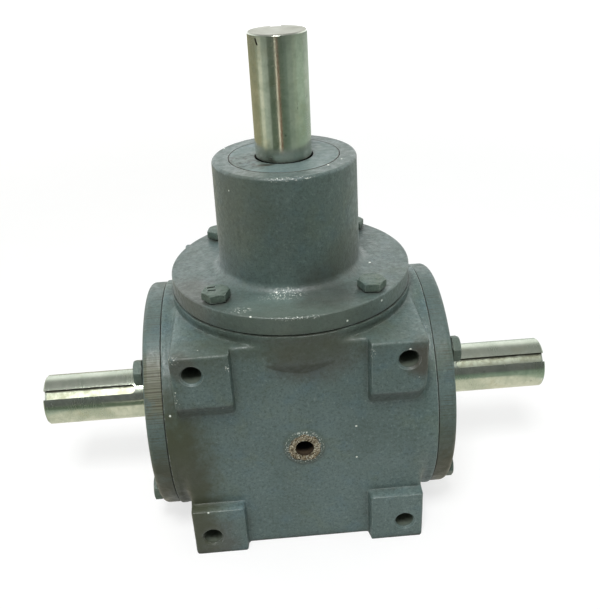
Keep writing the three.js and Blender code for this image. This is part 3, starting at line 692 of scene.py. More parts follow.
SIDE_SEAL_PAINT = paint(
    "side_seal_enamel", "seal_face", SEAL_TONE, 0.4, wear=0.2, specks=False, detail=seal_detail)
TOP_SEAL_PAINT = paint(
    "top_seal_enamel", "seal_face", SEAL_TONE, 0.4, wear=0.2, specks=False, detail=splashed_seal_detail)
CROSS_SLOT = spin(-CROSS_KEYWAY_TILT, "X") @ Vector((0, -1, 0))
INPUT_STEEL = steel("ground_steel_upright", "shaft_steel", (0.60, 0.62, 0.56), 0.16, "Z",
                    end=INPUT_SHAFT.end, opening=Vector((0, 1, 0)))
CROSS_STEEL = steel("ground_steel_across", "shaft_steel", (0.585, 0.64, 0.565), 0.2, "X",
                    end=CROSS_SHAFT.end, opening=CROSS_SLOT)
GEAR_STEEL = steel("hardened_steel", "gear_steel", (0.36, 0.36, 0.35), 0.32, "X")
PLAIN_STEEL = steel("plain_steel", "plain_steel", (0.42, 0.42, 0.40), 0.36, "Z", 0.2)
BEARING_STEEL = steel("bearing_steel", "bearing_steel", (0.66, 0.67, 0.68), 0.12, "X", 0.1)
CAGE_STEEL = steel("cage_steel", "cage_steel", (0.48, 0.49, 0.50), 0.26, "X", 0.1)
GASKET_PAPER = gasket_paper()


# ---- Making pieces ----
SMOOTH_ANGLE = math.radians(32)


def add_piece(name, mesh, finish, body, node, edge=0.0):
    """Turns a shape into a piece that rides on a body and stands for a CAD node."""
    mesh.transform(TO_FRAME)
    mesh.materials.clear()
    mesh.materials.append(finish.material)
    mesh.shade_smooth()
    mesh.set_sharp_from_angle(angle=SMOOTH_ANGLE)
    piece = new_object(name, mesh)
    if edge:
        bevel = piece.modifiers.new("edges", "BEVEL")
        bevel.width = edge * METRES
        bevel.segments = 2
        bevel.angle_limit = SMOOTH_ANGLE
        bevel.harden_normals = True
    normals = piece.modifiers.new("normals", "WEIGHTED_NORMAL")
    normals.keep_sharp = True
    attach(piece, body)
    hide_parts(node)


# ---- Cast gear case ----
def smooth_union(a, b, reach):
    """Distance to two shapes joined with a fillet of about this reach."""
    blend = np.maximum(reach - np.abs(a - b), 0) / reach
    return np.minimum(a, b) - blend * blend * reach / 4


def smooth_common(a, b, reach):
    return -smooth_union(-a, -b, reach)


def rounded_box(point, low, high, radius):
    over = [np.abs(p - (a + b) / 2) - (b - a) / 2 + radius for p, a, b in zip(point, low, high)]
    outside = np.sqrt(sum(np.maximum(o, 0) ** 2 for o in over))
    inside = np.minimum(np.maximum(np.maximum(over[0], over[1]), over[2]), 0)
    return outside + inside - radius


def boss_distance(radius, along, start):
    """Distance to a round boss whose inner end tapers in."""
    slope = BOSS_TAPER / BOSS_TAPER_LENGTH
    cone = (radius - (BOSS_R - BOSS_TAPER) - (along - start) * slope) / math.hypot(1, slope)
    return smooth_common(radius - BOSS_R, cone, 0.8)


def casting_distance(x, y, z):
    """Signed distance to the casting before it is machined."""
    side, depth = np.abs(x), np.abs(y)
    below = FLOOR - 2
    block_low, block_high = (-CASE_HALF_X, -CASE_HALF_Y, below), (CASE_HALF_X, CASE_HALF_Y, CASE_TOP)
    body = rounded_box((x, y, z), block_low, block_high, 2)
    envelope_low, envelope_high = (-CASE_HALF_X, -PAD_FACE, below), (CASE_HALF_X, PAD_FACE, CASE_TOP)
    envelope = rounded_box((x, y, z), envelope_low, envelope_high, 1.5)

    back = PAD_FACE - depth
    inner = PAD_INNER - back * PAD_DRAFT - side
    underside = (PAD_INNER - back * PAD_UNDERSIDE_SLOPE - z) / math.hypot(1, PAD_UNDERSIDE_SLOPE)
    outer_corner = smooth_common(underside, side - CASE_HALF_X, 6)
    upper = smooth_common(inner, np.where(x * y < 0, outer_corner, underside), 1.6)
    lower = smooth_common(inner, z + PAD_INNER - back * PAD_DRAFT, 1.6)
    pads = smooth_common(envelope, np.minimum(upper, lower), 0.9)
    body = np.maximum(smooth_union(body, pads, PAD_FILLET), envelope)

    about_x, about_y, about_z = np.hypot(y, z), np.hypot(x, z), np.hypot(x, y)
    body = smooth_union(body, boss_distance(about_x, side, SIDE_BOSS_START), CAST_FILLET)
    body = smooth_union(body, boss_distance(about_z, z, TOP_BOSS_START), NECK_FILLET)
    port_side = about_y - PORT_BOSS_R + (depth - CASE_HALF_Y) * 0.4
    body = smooth_union(body, smooth_common(port_side, depth - PORT_FACE, 0.8), 1.6)

    waves = np.sin(x / 7.3 + 1) * np.sin(y / 8.9 + 2) * np.sin(z / 6.1)
    ripples = np.sin((x + z) / 3.1) * np.sin((y - z) / 3.7)
    body = np.maximum(body + 0.09 * waves + 0.054 * ripples, depth - PAD_FACE)
    side_rim = np.maximum(about_x - RIM_R, SIDE_FACE - RIM_WIDTH - side)
    top_rim = np.maximum(about_z - RIM_R, TOP_FACE - RIM_WIDTH - z)
    body = np.minimum(body, np.minimum(side_rim, top_rim))
    return np.maximum(body, FLOOR - z)


def surface_nets(field, low, step):
    """A quad mesh along the zero level of a field on a grid, one vertex in each cell that it crosses."""
    inside = field < 0
    shape = np.array(field.shape)
    cells_at, positions, faces = [], [], []
    for axis in range(3):
        first = [slice(None)] * 3
        second = [slice(None)] * 3
        first[axis], second[axis] = slice(0, -1), slice(1, None)
        a, b = field[tuple(first)], field[tuple(second)]
        crossing = np.argwhere(inside[tuple(first)] != inside[tuple(second)])
        others = [(axis + 1) % 3, (axis + 2) % 3]
        crossing = crossing[(crossing[:, others] > 0).all(axis=1)]
        picked = tuple(crossing.T)
        point = crossing.astype(float)
        point[:, axis] += a[picked] / (a[picked] - b[picked])
        corners = []
        for u, v in ((0, 0), (1, 0), (1, 1), (0, 1)):
            cell = crossing.copy()
            cell[:, others[0]] -= u
            cell[:, others[1]] -= v
            cells_at.append(np.ravel_multi_index(cell.T, shape))
            corners.append(cells_at[-1])
            positions.append(point)
        quads = np.stack(corners, axis=1)
        flip = ~inside[tuple(first)][picked]
        quads[flip] = quads[flip][:, ::-1]
        faces.append(quads)
    used, index = np.unique(np.concatenate(cells_at), return_inverse=True)
    points = np.concatenate(positions)
    count = np.bincount(index)
    vertices = np.stack([np.bincount(index, points[:, i]) / count for i in range(3)], axis=1)
    quads = np.searchsorted(used, np.concatenate(faces))
    return polygons((vertices * step + low).tolist(), quads[:, ::-1].tolist())


def cast_skin():
    low = np.array((-SIDE_FACE - 3, -PAD_FACE - 2.2, FLOOR - 2.3))
    high = np.array((SIDE_FACE + 3, PAD_FACE + 2.2, TOP_FACE + 3))
    axes = [np.arange(a, b, CAST_STEP) for a, b in zip(low, high)]
    x, y, z = np.meshgrid(*axes, indexing="ij", sparse=True)
    distance = casting_distance(x, y, z)
    outer = np.maximum(np.abs(x) - SIDE_FACE - 1.2, z - TOP_FACE - 1.2)
    return surface_nets(np.maximum(distance, outer), low, CAST_STEP)


def threaded_hole(radius, start, end, pitch):
    """A cutter with fine thread grooves, drawn about +Z."""
    turns = int((end - start) / pitch)
    crest = [(radius + (0.35 if i % 2 else 0), start + i * pitch / 2) for i in range(2 * turns)]
    profile = [(0, start - 0.1), (radius, start - 0.1), *crest, (radius, end), (0, end)]
    return lathe(profile, 48, False)


def pad_hole(x, z, direction):
    depth = PAD_FACE - PAD_HOLE_DEPTH
    chamfer = [(0, depth - 2), (PAD_HOLE_R, depth), (PAD_HOLE_R, PAD_FACE - 0.9),
               (PAD_HOLE_R + 2.1, PAD_FACE + 1.2), (0, PAD_FACE + 1.2)]
    return moved(lathe(chamfer, 48, False), shift(x, 0, z) @ direction)


def gear_case():
    slab = 10
    side_cut, top_cut = SIDE_FACE + PRESSED, TOP_FACE + PRESSED
    faces = [moved(block((-70, -70, side_cut), (70, 70, side_cut + slab)), d) for d in (LEFT, RIGHT)]
    faces.append(block((-60, -70, top_cut), (60, 70, top_cut + slab)))
    cavity = [moved(disc(CAVITY_R, -CAVITY_END, CAVITY_END, 96), RIGHT),
              disc(CAVITY_R, -CAVITY_R, CAVITY_END, 96)]
    bores, holes = [], []
    for direction, face in ((RIGHT, SIDE_FACE), (LEFT, SIDE_FACE), (UP, TOP_FACE)):
        bores.append(moved(disc(BORE_R, 0, face + 2, 128), direction))
        drilled = bolt_holes(face - BOLT_LENGTH + COVER.end - COVER_BACK, face + 1)
        holes += [moved(hole, direction) for hole in drilled]
    places = (-PAD_HOLE, PAD_HOLE)
    pads = [pad_hole(x, z, d) for x in places for z in places for d in (FRONT, BACK)]
    ports = [moved(threaded_hole(PORT_R, CAVITY_R - 3, PORT_FACE + 1, PIPE_PITCH), d) for d in (FRONT, BACK)]
    shape = cut(cast_skin(), *faces, *cavity, *bores)
    return cut(shape, together(holes), together(pads), together(ports))


# ---- Covers, housing, seals and gaskets ----
def side_cover():
    lip, recess = CUP.end + LIP_GAP, SEAL.start - LIP_GAP
    profile = [(SEAT_R, COVER.start, 0.4), (PILOT_R, COVER.start, 0.6), (PILOT_R, COVER_BACK, 0.2),
               (COVER.outer, COVER_BACK, 0.3), (COVER.outer, COVER.end, 2.6), (SEAT_R, COVER.end, 0.3),
               (SEAT_R, recess), (COVER.inner, recess, 0.2), (COVER.inner, lip, 0.2), (SEAT_R, lip)]
    return cut(lathe(profile, 160), together(bolt_holes(COVER_BACK - 1, COVER.end + 1)))


def input_housing():
    lower_lip = CUP.end + LIP_GAP
    upper_lip = UPPER_CONE.end - BEARING_WIDTH - LIP_GAP
    profile = [(SEAT_R, HOUSING.start, 0.4), (PILOT_R, HOUSING.start, 0.6), (PILOT_R, HOUSING_BACK, 0.2),
               (HOUSING.outer, HOUSING_BACK, 0.3), (HOUSING.outer, FLANGE_TOP, 0.8),
               (HUB_R + 0.8, FLANGE_TOP, 4.5), (HUB_R, HOUSING.end, 1.5), (SEAT_R, HOUSING.end, 0.25),
               (SEAT_R, upper_lip), (HOUSING.inner, upper_lip, 0.2), (HOUSING.inner, lower_lip, 0.2),
               (SEAT_R, lower_lip)]
    return cut(lathe(profile, 192), together(bolt_holes(HOUSING_BACK - 1, FLANGE_TOP + 1)))


def gasket(size):
    """Paper pressed between two faces, nearly flush with their rims."""
    start, end, outer = size.start - 0.03, size.end + 0.03, size.outer + 0.3
    profile = [(size.inner, start), (outer, start), (outer + 0.15, (start + end) / 2, 0.2),
               (outer, end), (size.inner, end)]
    return cut(lathe(profile, 160), together(bolt_holes(start - 1, end + 1)))


def oil_seal(seal):
    """Metal-cased lip seal: a flat outer face, a step down to the rubber lip and a garter groove."""
    lip, face = seal.inner, seal.end
    profile = [(lip, seal.start + 1, 0.2), (SEAL_RECESS_R + 1, seal.start + 0.2, 0.3),
               (seal.outer, seal.start, 0.5), (seal.outer, face, 0.3), (SEAL_RECESS_R, face, 0.15),
               (SEAL_RECESS_R - 0.1, face - 0.5, 0.05), (lip + 0.1, face - 0.7, 0.05),
               (lip, face - 1.4, 0.05)]
    return lathe(profile, 128)


# ---- Bolts ----
def hex_prism(start, end):
    corners = [spin(60 * i) @ Vector((HEAD_CORNER, 0, 0)) for i in range(6)]
    return loft([[(x, y, height) for x, y, _ in corners] for height in (start, end)])


def hex_bolt(under, length):
    """A bolt along +Z whose head starts at a height: chamfered hexagon, washer face and cut thread."""
    top = under + HEAD_HEIGHT
    washer_r, crown_r = HEAD_FLATS / 2 - 0.3, HEAD_CORNER + 0.1
    crown = lathe([(0, under), (washer_r, under), (washer_r, under + 0.35),
                   (crown_r, under + 0.35), (crown_r, top - 0.55), (washer_r + 0.1, top, 0.3),
                   (0, top)], 96, False)
    head = boolean(hex_prism(under - 1, top + 1), crown, "INTERSECT")
    pitch, root = 1.27, BOLT_R - 0.55
    tip = under - length
    turns = int((length - 5) / pitch)
    shank = [(0, tip), (root - 0.4, tip)]
    for i in range(turns):
        foot = tip + 0.9 + i * pitch
        shank += [(root, foot), (BOLT_R, foot + 0.45 * pitch), (BOLT_R, foot + 0.6 * pitch)]
    shank += [(BOLT_R, under + 1), (0, under + 1)]
    return boolean(head, lathe(shank, 32, False), "UNION")


def gouges(centre):
    """Two shallow cuts across the left of the top of a bolt's head."""
    knife = block((-1.8, -0.65, -0.7), (1.8, 0.65, 1))
    cuts = ((-2, 2.6, 12), (-1.7, -0.3, 4))
    return [moved(knife, shift(*centre) @ shift(x, y, 0) @ spin(turn)) for x, y, turn in cuts]


# ---- Bearings ----
ROLLER_COUNT = 12
ROLLER_TAPER = 0.2


def bearing_cone():
    """Inner ring along +Z from its back face at 0, with a rib at each end of the raceway."""
    bore, outer = CONE.inner, CONE.outer
    return lathe([(bore, 0, 0.8), (outer, 0, 0.3), (outer, 1.7, 0.2), (17.7, 1.8, 0.1), (17.6, 2.2),
                  (15.4, 12.7), (15.9, 12.8, 0.1), (15.8, CONE_WIDTH, 0.2), (bore, CONE_WIDTH, 0.5)], 96)


def bearing_cup():
    """Outer ring, placed like the inner one."""
    outer, front = CUP.outer, CUP.start - CONE.start
    return lathe([(23.1, front, 0.3), (outer, front, 0.4), (outer, BEARING_WIDTH, 0.9),
                  (CUP.inner, BEARING_WIDTH, 0.3)], 96)


def bearing_rollers():
    """Twelve tapered rollers joined by their pressed cage."""
    low, high = 2.3, 11.9
    low_r = 20.13
    high_r = low_r - (high - low) * ROLLER_TAPER
    cage = lathe([(low_r - 0.9, low + 0.1, 0.2), (low_r + 0.6, low - 0.1, 0.2),
                  (high_r + 0.6, high + 1, 0.2), (high_r - 0.7, high + 1, 0.2)], 96)
    roller = lathe([(0, 0), (2.1, 0, 0.25), (1.82, high - low, 0.25), (0, high - low)], 32, False)
    place = shift(low_r, 0, low) @ spin(-math.degrees(math.atan(ROLLER_TAPER)), "Y")
    for i in range(ROLLER_COUNT):
        cage = boolean(cage, moved(roller, spin(360 * i / ROLLER_COUNT) @ place), "UNION")
    return cage


# ---- Bevel gears with their apex at the crossing ----
TEETH = 18
PITCH_R = 38.1
FACE_WIDTH = 15
BACKLASH = 0.35
CONE_DISTANCE = PITCH_R * math.sqrt(2)
MODULE = 2 * PITCH_R / TEETH
PRESSURE_ANGLE = math.radians(20)
FLANK_POINTS = 7


def involute(angle):
    return math.tan(angle) - angle


def half_tooth_angle(rho):
    """Half the angle of a tooth at a distance from the tip of the back cone, where teeth are involutes."""
    base = CONE_DISTANCE * math.cos(PRESSURE_ANGLE)
    pressure = math.acos(base / rho) if rho > base else 0
    at_pitch = (math.pi * MODULE - 2 * BACKLASH) / (4 * CONE_DISTANCE)
    return at_pitch + involute(PRESSURE_ANGLE) - involute(pressure)


def tooth_ring(scale, turn):
    root, tip = CONE_DISTANCE - 1.2 * MODULE, CONE_DISTANCE + MODULE
    flank = [root + (tip - root) * i / (FLANK_POINTS - 1) for i in range(FLANK_POINTS)]
    outline = [(rho, -1) for rho in flank] + [(rho, 1) for rho in reversed(flank)]
    points = []
    for tooth in range(TEETH):
        for rho, side in outline:
            angle = (tooth + turn) * 2 * math.pi / TEETH + side * half_tooth_angle(rho) * math.sqrt(2)
            radius = rho / math.sqrt(2)
            point = Vector((radius * math.cos(angle), radius * math.sin(angle), 2 * PITCH_R - radius))
            points.append(point * scale)
    return points


def circle_under(ring, radius, height):
    """A ring's points moved onto a circle about +Z."""
    return [Vector((*(point.xy.normalized() * radius), height)) for point in ring]


def bevel_gear(bore, turn):
    """turn shifts the teeth round by that share of one tooth."""
    front_r, hub_r, rim_r, rim_height = 20, 22, 30, 44.5
    toe = (CONE_DISTANCE - FACE_WIDTH) / CONE_DISTANCE
    teeth = [tooth_ring(toe + (1 - toe) * i / 4, turn) for i in range(5)]
    front = circle_under(teeth[0], front_r, GEAR.start)
    rim = circle_under(teeth[0], rim_r, rim_height)
    shape = loft([front, *teeth, rim, circle_under(teeth[0], hub_r + 0.2, rim_height + 0.1)])
    hub = lathe([(0, 40), (hub_r, 40), (hub_r, GEAR.end, 0.8), (0, GEAR.end)], 96, False)
    shape = boolean(shape, hub, "UNION")
    slot = block((0, -KEYWAY_WIDTH / 2, 0), (bore + KEYWAY_DEPTH, KEYWAY_WIDTH / 2, GEAR.end + 1))
    return cut(shape, disc(bore, 0, GEAR.end + 1, 96), slot)


# ---- Shafts ----
def keyway(radius, start, end, matrix):
    """A slot along +Z that opens towards +X, with the round end of the cutter at its foot."""
    floor = radius - KEYWAY_DEPTH
    slot = block((floor, -KEYWAY_WIDTH / 2, start), (radius + 2, KEYWAY_WIDTH / 2, end))
    mill = moved(disc(KEYWAY_WIDTH / 2, floor, radius + 2, 48), shift(0, 0, start) @ RIGHT)
    return moved(boolean(slot, mill, "UNION"), matrix)


def gear_keyway(radius, key):
    end_gap = 1
    return block((radius - KEYWAY_DEPTH, -KEYWAY_WIDTH / 2, key.start - end_gap),
                 (radius + 2, KEYWAY_WIDTH / 2, key.end + end_gap))


def input_shaft():
    groove = (RING.start - 0.3, RING.end + 0.3)
    groove_r = RING.inner - 0.3
    start, end = INPUT_SHAFT.start, INPUT_SHAFT.end
    profile = [(0, start), (SHAFT_R, start, 1), (SHAFT_R, groove[0], 0.1), (groove_r, groove[0], 0.1),
               (groove_r, groove[1], 0.1), (SHAFT_R, groove[1], 0.1), (SHAFT_R, end - 0.55, 0.2),
               (SHAFT_R - 0.55, end, 0.2), (0, end)]
    shape = lathe(profile, 160, False)
    rear_slot = keyway(SHAFT_R, end - KEYWAY_LENGTH, end + 1, spin(90))
    nick = moved(block((-0.32, -0.9, -1.4), (0.32, 0.9, 1.4)), shift(-9.1, -9.1, end - 2.9) @ spin(-14, "Y"))
    return cut(shape, gear_keyway(SHAFT_R, measured("pinion_key", UP)), rear_slot, nick)


def cross_shaft():
    """Drawn with its gear end up; the far half mirrors the bearing seat and the keyed end."""
    shoulder_r, reach = CROSS_SHAFT.outer, CROSS_SHAFT.end
    near = [(SHAFT_R, GEAR.end, 0.2), (SHAFT_R, reach - 0.55, 0.2), (SHAFT_R - 0.55, reach, 0.2),
            (0, reach)]
    far = [(radius, -height, *fillet) for radius, height, *fillet in reversed(near)]
    middle = [(shoulder_r, -GEAR.end, 0.4), (shoulder_r, GEAR.start - 0.3, 0.4),
              (GEAR_SEAT_R, GEAR.start - 0.3, 0.2), (GEAR_SEAT_R, GEAR.end, 0.3)]
    shape = lathe(far + middle + near, 160, False)
    start = reach - KEYWAY_LENGTH + KEYWAY_WIDTH / 2
    slot = keyway(SHAFT_R, start, reach + 1, spin(-90 - CROSS_KEYWAY_TILT))
    mirrored = moved(slot, Matrix.Diagonal((1, 1, -1, 1)))
    mirrored.flip_normals()
    return cut(shape, gear_keyway(GEAR_SEAT_R, measured("gear_key", RIGHT)), slot, mirrored)


# ---- Small pieces ----
def key_bar(node):
    return block(*(FROM_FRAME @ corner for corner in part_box(node)))


def locknut():
    bore = LOCKNUT.inner
    shape = lathe([(bore, LOCKNUT.start, 0.6), (LOCKNUT.outer, LOCKNUT.start, 0.5),
                   (LOCKNUT.outer, LOCKNUT.end, 0.5), (bore, LOCKNUT.end, 0.6)], 96)
    slot = block((LOCKNUT.outer - 2.5, -2, LOCKNUT.start - 1), (LOCKNUT.outer + 1, 2, LOCKNUT.end + 1))
    return cut(shape, *(moved(slot, spin(angle)) for angle in BOLT_ANGLES))


def retaining_ring():
    """Spring ring with a gap and two holed lugs."""
    inner, start, end = RING.inner, RING.start, RING.end
    band_r = RING.outer - 1.6
    shape = lathe([(inner, start), (band_r, start), (band_r, end), (inner, end)], 96)
    holes = []
    for side in (-1, 1):
        shape = boolean(shape, moved(disc(2.1, start, end, 32), shift(13.7, side * 4.6, 0)), "UNION")
        holes.append(moved(disc(0.8, start - 1, end + 1, 24), shift(13.9, side * 4.7, 0)))
    return cut(shape, block((0, -2.5, start - 1), (RING.outer + 1, 2.5, end + 1)), together(holes))


def pipe_plug():
    """Threaded plug with a square socket, a little proud of the rear boss."""
    body = PLUG.outer
    thread_start = PLUG.start + 0.4
    profile = [(0, PLUG.start), (body - 0.5, PLUG.start)]
    for i in range(int((PLUG.end - PLUG.start - 1.2) / PIPE_PITCH)):
        foot = thread_start + i * PIPE_PITCH
        profile += [(body - 0.45, foot), (body, foot + PIPE_PITCH / 2)]
    profile += [(body, PLUG.end, 0.4), (0, PLUG.end)]
    socket = block((-2.4, -2.4, PLUG.end - 4.5), (2.4, 2.4, PLUG.end + 1))
    return moved(cut(lathe(profile, 48, False), socket), BACK)


# ---- The object ----
ROOT = "case_assembly"
add_piece("gear_case_casting", gear_case(), CASE_PAINT, ROOT, "gear_case")
add_piece("input_bearing_housing_casting", input_housing(), HOUSING_PAINT, ROOT, "input_bearing_housing")
add_piece("input_housing_gasket_sheet", gasket(TOP_GASKET), GASKET_PAPER, ROOT, "input_housing_gasket")
add_piece("input_oil_seal_ring", oil_seal(INPUT_SEAL), TOP_SEAL_PAINT, ROOT, "input_oil_seal")

for side, direction in (("left", LEFT), ("right", RIGHT)):
    for node, suffix, shape, finish in (
        (f"{side}_side_cover", "casting", side_cover(), COVER_PAINT),
        (f"{side}_cover_gasket", "sheet", gasket(GASKET), GASKET_PAPER),
        (f"{side}_oil_seal", "ring", oil_seal(SEAL), SIDE_SEAL_PAINT),
    ):
        add_piece(f"{node}_{suffix}", moved(shape, direction), finish, ROOT, node)

for prefix, direction, face, turns in (
    ("input_housing", UP, FLANGE_TOP, (8, 20, 9, -6)),
    ("left_cover", LEFT, COVER.end, (9, 25, 0, 57)),
    ("right_cover", RIGHT, COVER.end, (5, 22, 6, 28)),
):
    under = face + HEAD_GAP
    bolt = hex_bolt(under, BOLT_LENGTH - 1)
    for i, (angle, turn) in enumerate(zip(BOLT_ANGLES, turns)):
        place = direction @ spin(angle) @ shift(BOLT_CIRCLE_R, 0, 0)
        shape = moved(bolt, place @ spin(turn - angle))
        node = f"{prefix}_bolt_{i + 1}"
        if node == GOUGED_BOLT:
            shape = cut(shape, *gouges(place @ Vector((0, 0, under + HEAD_HEIGHT))))
        add_piece(f"{node}_hex", shape, BOLT_PAINT, ROOT, node, edge=0.12)

for prefix, direction, height, flip, rotor in (
    ("lower_input", UP, CONE.start, 0, "input_rotor"),
    ("upper_input", UP, UPPER_CONE.end, 180, "input_rotor"),
    ("left", LEFT, CONE.start, 0, "cross_rotor"),
    ("right", RIGHT, CONE.start, 0, "cross_rotor"),
):
    place = direction @ shift(0, 0, height) @ spin(flip, "X")
    for part, name, shape, finish, body in (
        ("cup", "outer_ring", bearing_cup(), BEARING_STEEL, ROOT),
        ("cone", "inner_ring", bearing_cone(), BEARING_STEEL, rotor),
        ("rollers", "roller_cage", bearing_rollers(), CAGE_STEEL, f"{prefix}_roller_set"),
    ):
        add_piece(f"{prefix}_bearing_{name}", moved(shape, place), finish, body, f"{prefix}_bearing_{part}")

for name, shape, finish, body, node, edge in (
    ("input_shaft_bar", input_shaft(), INPUT_STEEL, "input_rotor", "input_shaft", 0),
    ("input_pinion_teeth", bevel_gear(SHAFT_R + 0.2, 0), GEAR_STEEL, "input_rotor", "input_pinion", 0.15),
    ("pinion_key_bar", key_bar("pinion_key"), PLAIN_STEEL, "input_rotor", "pinion_key", 0.3),
    ("pinion_snap_ring", retaining_ring(), PLAIN_STEEL, "input_rotor", "pinion_retaining_ring", 0),
    ("input_slotted_nut", locknut(), PLAIN_STEEL, "input_rotor", "input_locknut", 0.2),
    ("cross_shaft_bar", moved(cross_shaft(), RIGHT), CROSS_STEEL, "cross_rotor", "cross_shaft", 0),
    ("cross_gear_teeth", moved(bevel_gear(GEAR_SEAT_R + 0.2, 0.5), RIGHT), GEAR_STEEL, "cross_rotor",
     "cross_shaft_gear", 0.15),
    ("gear_key_bar", key_bar("gear_key"), PLAIN_STEEL, "cross_rotor", "gear_key", 0.3),
    ("rear_plug_body", pipe_plug(), BOLT_PAINT, ROOT, "rear_pipe_plug", 0),
):
    add_piece(name, shape, finish, body, node, edge)


# ---- Stage ----
ALL_BUT_CAMERA = ("diffuse", "glossy", "shadow", "transmission")
ALL_BUT_MIRRORS = ("camera", "diffuse", "shadow", "transmission")
WHITE = (1, 1, 1, 1)
SHEET_WIDTH = 4.0  # metres to each side, as everything on the stage
SHEET_FRONT = -3.0
SHEET_BEND = 2.4
SHEET_CURVE = 0.8
SHEET_HEIGHT = 3.0
WALL_RADII = (2.9, 4.5)
WALL_HEIGHT = 4.0
HORIZON_TONE = (1.45, 1.48, 1.46)
ZENITH_TONE = (0.42, 0.43, 0.42)
FRONT_TONE = (0.16, 0.165, 0.16)
KEY_PLACE = Vector((-0.10, -0.54, 1.08))
KEY_TARGET = Vector((0, 0, 0.06))
KEY_SIZE = 0.32
KEY_POWER = 9.5
RING_RADII = (0.16, 1.6)
NEAR_TONE = (0.84, 0.80, 0.67)


def strip(points):
    """Faces between successive pairs of points."""
    return polygons(points, [(i, i + 1, i + 3, i + 2) for i in range(0, len(points) - 2, 2)])


def stage_piece(name, mesh, material, unseen_by):
    """Part of the stage; unseen_by names the kinds of ray that pass it by."""
    mesh.materials.append(material)
    thing = new_object(name, mesh)
    for ray in unseen_by:
        setattr(thing, f"visible_{ray}", False)


def floor():
    """A wide pale sheet that curves up far behind, over a dark bench that gives back little light, save a
    bright patch near the front right that also glows as a low fill light.
    """
    paper = Surface("pale_paper", Roughness=0.85, Emission_Color=WHITE)
    paper.link(paper.mixed(paper.noise(30), (0.29, 0.29, 0.29), (0.31, 0.31, 0.31)), "Base Color")
    away = paper.distance_to((0, 0, FLOOR))
    paper.link(paper.band(away, 400, 1600, 0.69, 0.95), "Emission Strength")
    line = [(SHEET_FRONT, 0.0), (SHEET_BEND, 0.0)]
    for step in range(1, 17):
        angle = math.radians(90) * step / 16
        line.append((SHEET_BEND + SHEET_CURVE * math.sin(angle), SHEET_CURVE * (1 - math.cos(angle))))
    line.append((SHEET_BEND + SHEET_CURVE, SHEET_HEIGHT))
    sheet = strip([(x, y, z) for y, z in line for x in (-SHEET_WIDTH, SHEET_WIDTH)])
    sheet.shade_smooth()
    stage_piece("paper_sweep", sheet, paper.material, ("diffuse", "glossy"))
    inner, outer = WALL_RADII
    wall = lathe([(inner, -0.001), (outer, -0.001), (outer, WALL_HEIGHT)], 64, False)
    stage_piece("paper_wall", wall, paper.material, ALL_BUT_CAMERA)

    bench = Surface("dark_bench", Roughness=0.8, Emission_Color=WHITE)
    # A bright patch near the front right that also glows, as a low fill light on the object.
    near = bench.band(bench.distance_to((85, -80, FLOOR)), 300, 140)
    bench.link(bench.mixed(near, (0.20, 0.20, 0.195), (0.98, 0.98, 0.98)), "Base Color")
    bench.link(bench.ramp(near, 0, 1, 0, 0.3), "Emission Strength")
    top = strip([(x, y, -0.002) for y in (SHEET_FRONT, SHEET_BEND) for x in (-SHEET_WIDTH, SHEET_WIDTH)])
    stage_piece("bench_top", top, bench.material, ("camera",))


def reflection_card(name, points, tone):
    """A card on the floor that only mirrors see."""
    glow = Surface(name, Base_Color=(0, 0, 0, 1), Specular_IOR_Level=0, Emission_Color=(*tone, 1),
                   Emission_Strength=1)
    stage_piece(name, strip(points), glow.material, ALL_BUT_MIRRORS)


def ring_card(name, azimuths, radii, tone):
    """A part of a ring; azimuth 0 is the front, 90 the right."""
    angles = [math.radians(azimuth) for azimuth in np.linspace(*azimuths, 25)]
    reflection_card(name, [(r * math.sin(a), -r * math.cos(a), 0.001) for a in angles for r in radii], tone)


def key_light():
    """A small softbox above the front, aimed at the crossing."""
    light = bpy.data.lights.new("key_softbox", "AREA")
    light.shape = "SQUARE"
    light.size = KEY_SIZE
    light.energy = KEY_POWER
    lamp = new_object("key_softbox", light)
    lamp.location = KEY_PLACE
    lamp.rotation_euler = (KEY_TARGET - KEY_PLACE).to_track_quat("-Z", "Y").to_euler()


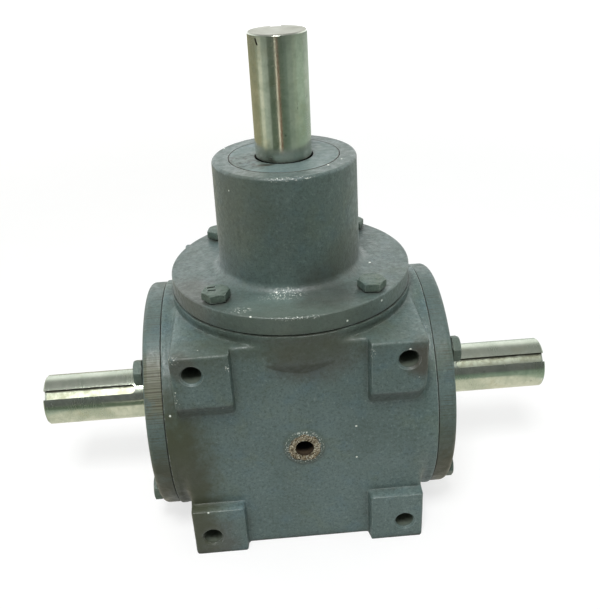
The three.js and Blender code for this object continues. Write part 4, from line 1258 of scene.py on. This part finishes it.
def surroundings():
    """A room that is bright low down behind and beside, dim overhead and dark low in front."""
    world = bpy.data.worlds.new("room")
    world.use_nodes = True
    tree = world.node_tree
    split = add_node(tree, "SeparateXYZ", {0: add_node(tree, "TexCoord").outputs["Generated"]}).outputs
    sky = mixed(tree, ramp(tree, split["Z"], 0.45, 0.85), HORIZON_TONE, ZENITH_TONE)
    masks = {0: ramp(tree, split["Y"], 0.2, -0.35), 1: ramp(tree, split["Z"], 0.75, 0.5)}
    front = add_node(tree, "Math", masks, operation="MULTIPLY").outputs[0]
    tree.links.new(mixed(tree, front, sky, FRONT_TONE), tree.nodes["Background"].inputs["Color"])
    bpy.context.scene.world = world


floor()
surroundings()
key_light()
card_start = -180
for name, card_end, tone in (
    ("tan_card", -98, (0.40, 0.385, 0.25)),
    ("green_card", -88, (0.43, 0.45, 0.31)),
    ("pale_card", -70, (0.80, 0.82, 0.66)),
    ("grey_card", -57, (0.50, 0.57, 0.47)),
    ("moss_card", -44, (0.42, 0.48, 0.40)),
    ("shade_card", -14.5, (0.13, 0.17, 0.12)),
    ("highlight_card", -11.5, (1.9, 1.8, 1.5)),
    ("red_card", -2, (0.26, 0.16, 0.10)),
    ("dusk_card", 16, (0.14, 0.19, 0.14)),
    ("olive_card", 29, (0.18, 0.24, 0.19)),
    ("leaf_card", 52, (0.29, 0.36, 0.29)),
    ("mint_card", 68, (0.38, 0.46, 0.36)),
    ("sage_card", 112, (0.44, 0.55, 0.44)),
    ("wall_card", 180, (0.55, 0.63, 0.55)),
):
    ring_card(name, (card_start, card_end), RING_RADII, tone)
    card_start = card_end
for name, near_x, far_x in (("left_near_card", -0.15, -0.07), ("right_near_card", 0.07, 0.15)):
    reflection_card(name, [(x, y, 0.002) for y in (-0.13, 0.06) for x in (near_x, far_x)], NEAR_TONE)


# ---- Camera ----
CAMERA_PLACE = Vector((-11.72, -330.66, 226.24))
CAMERA_TARGET = Vector((3.84, 0, 45.4))
CAMERA_ROLL = 2.94
lens = bpy.data.cameras.new("camera")
lens.lens = 44.5
lens.sensor_width = 36
lens.clip_start = 0.01
lens.clip_end = 20
camera = new_object("camera", lens)
aim = (CAMERA_TARGET - CAMERA_PLACE).to_track_quat("-Z", "Y").to_matrix().to_4x4()
camera.matrix_world = shift(*(TO_FRAME @ CAMERA_PLACE)) @ aim @ spin(-CAMERA_ROLL)
bpy.context.scene.camera = camera
bpy.context.scene.view_settings.view_transform = "Standard"
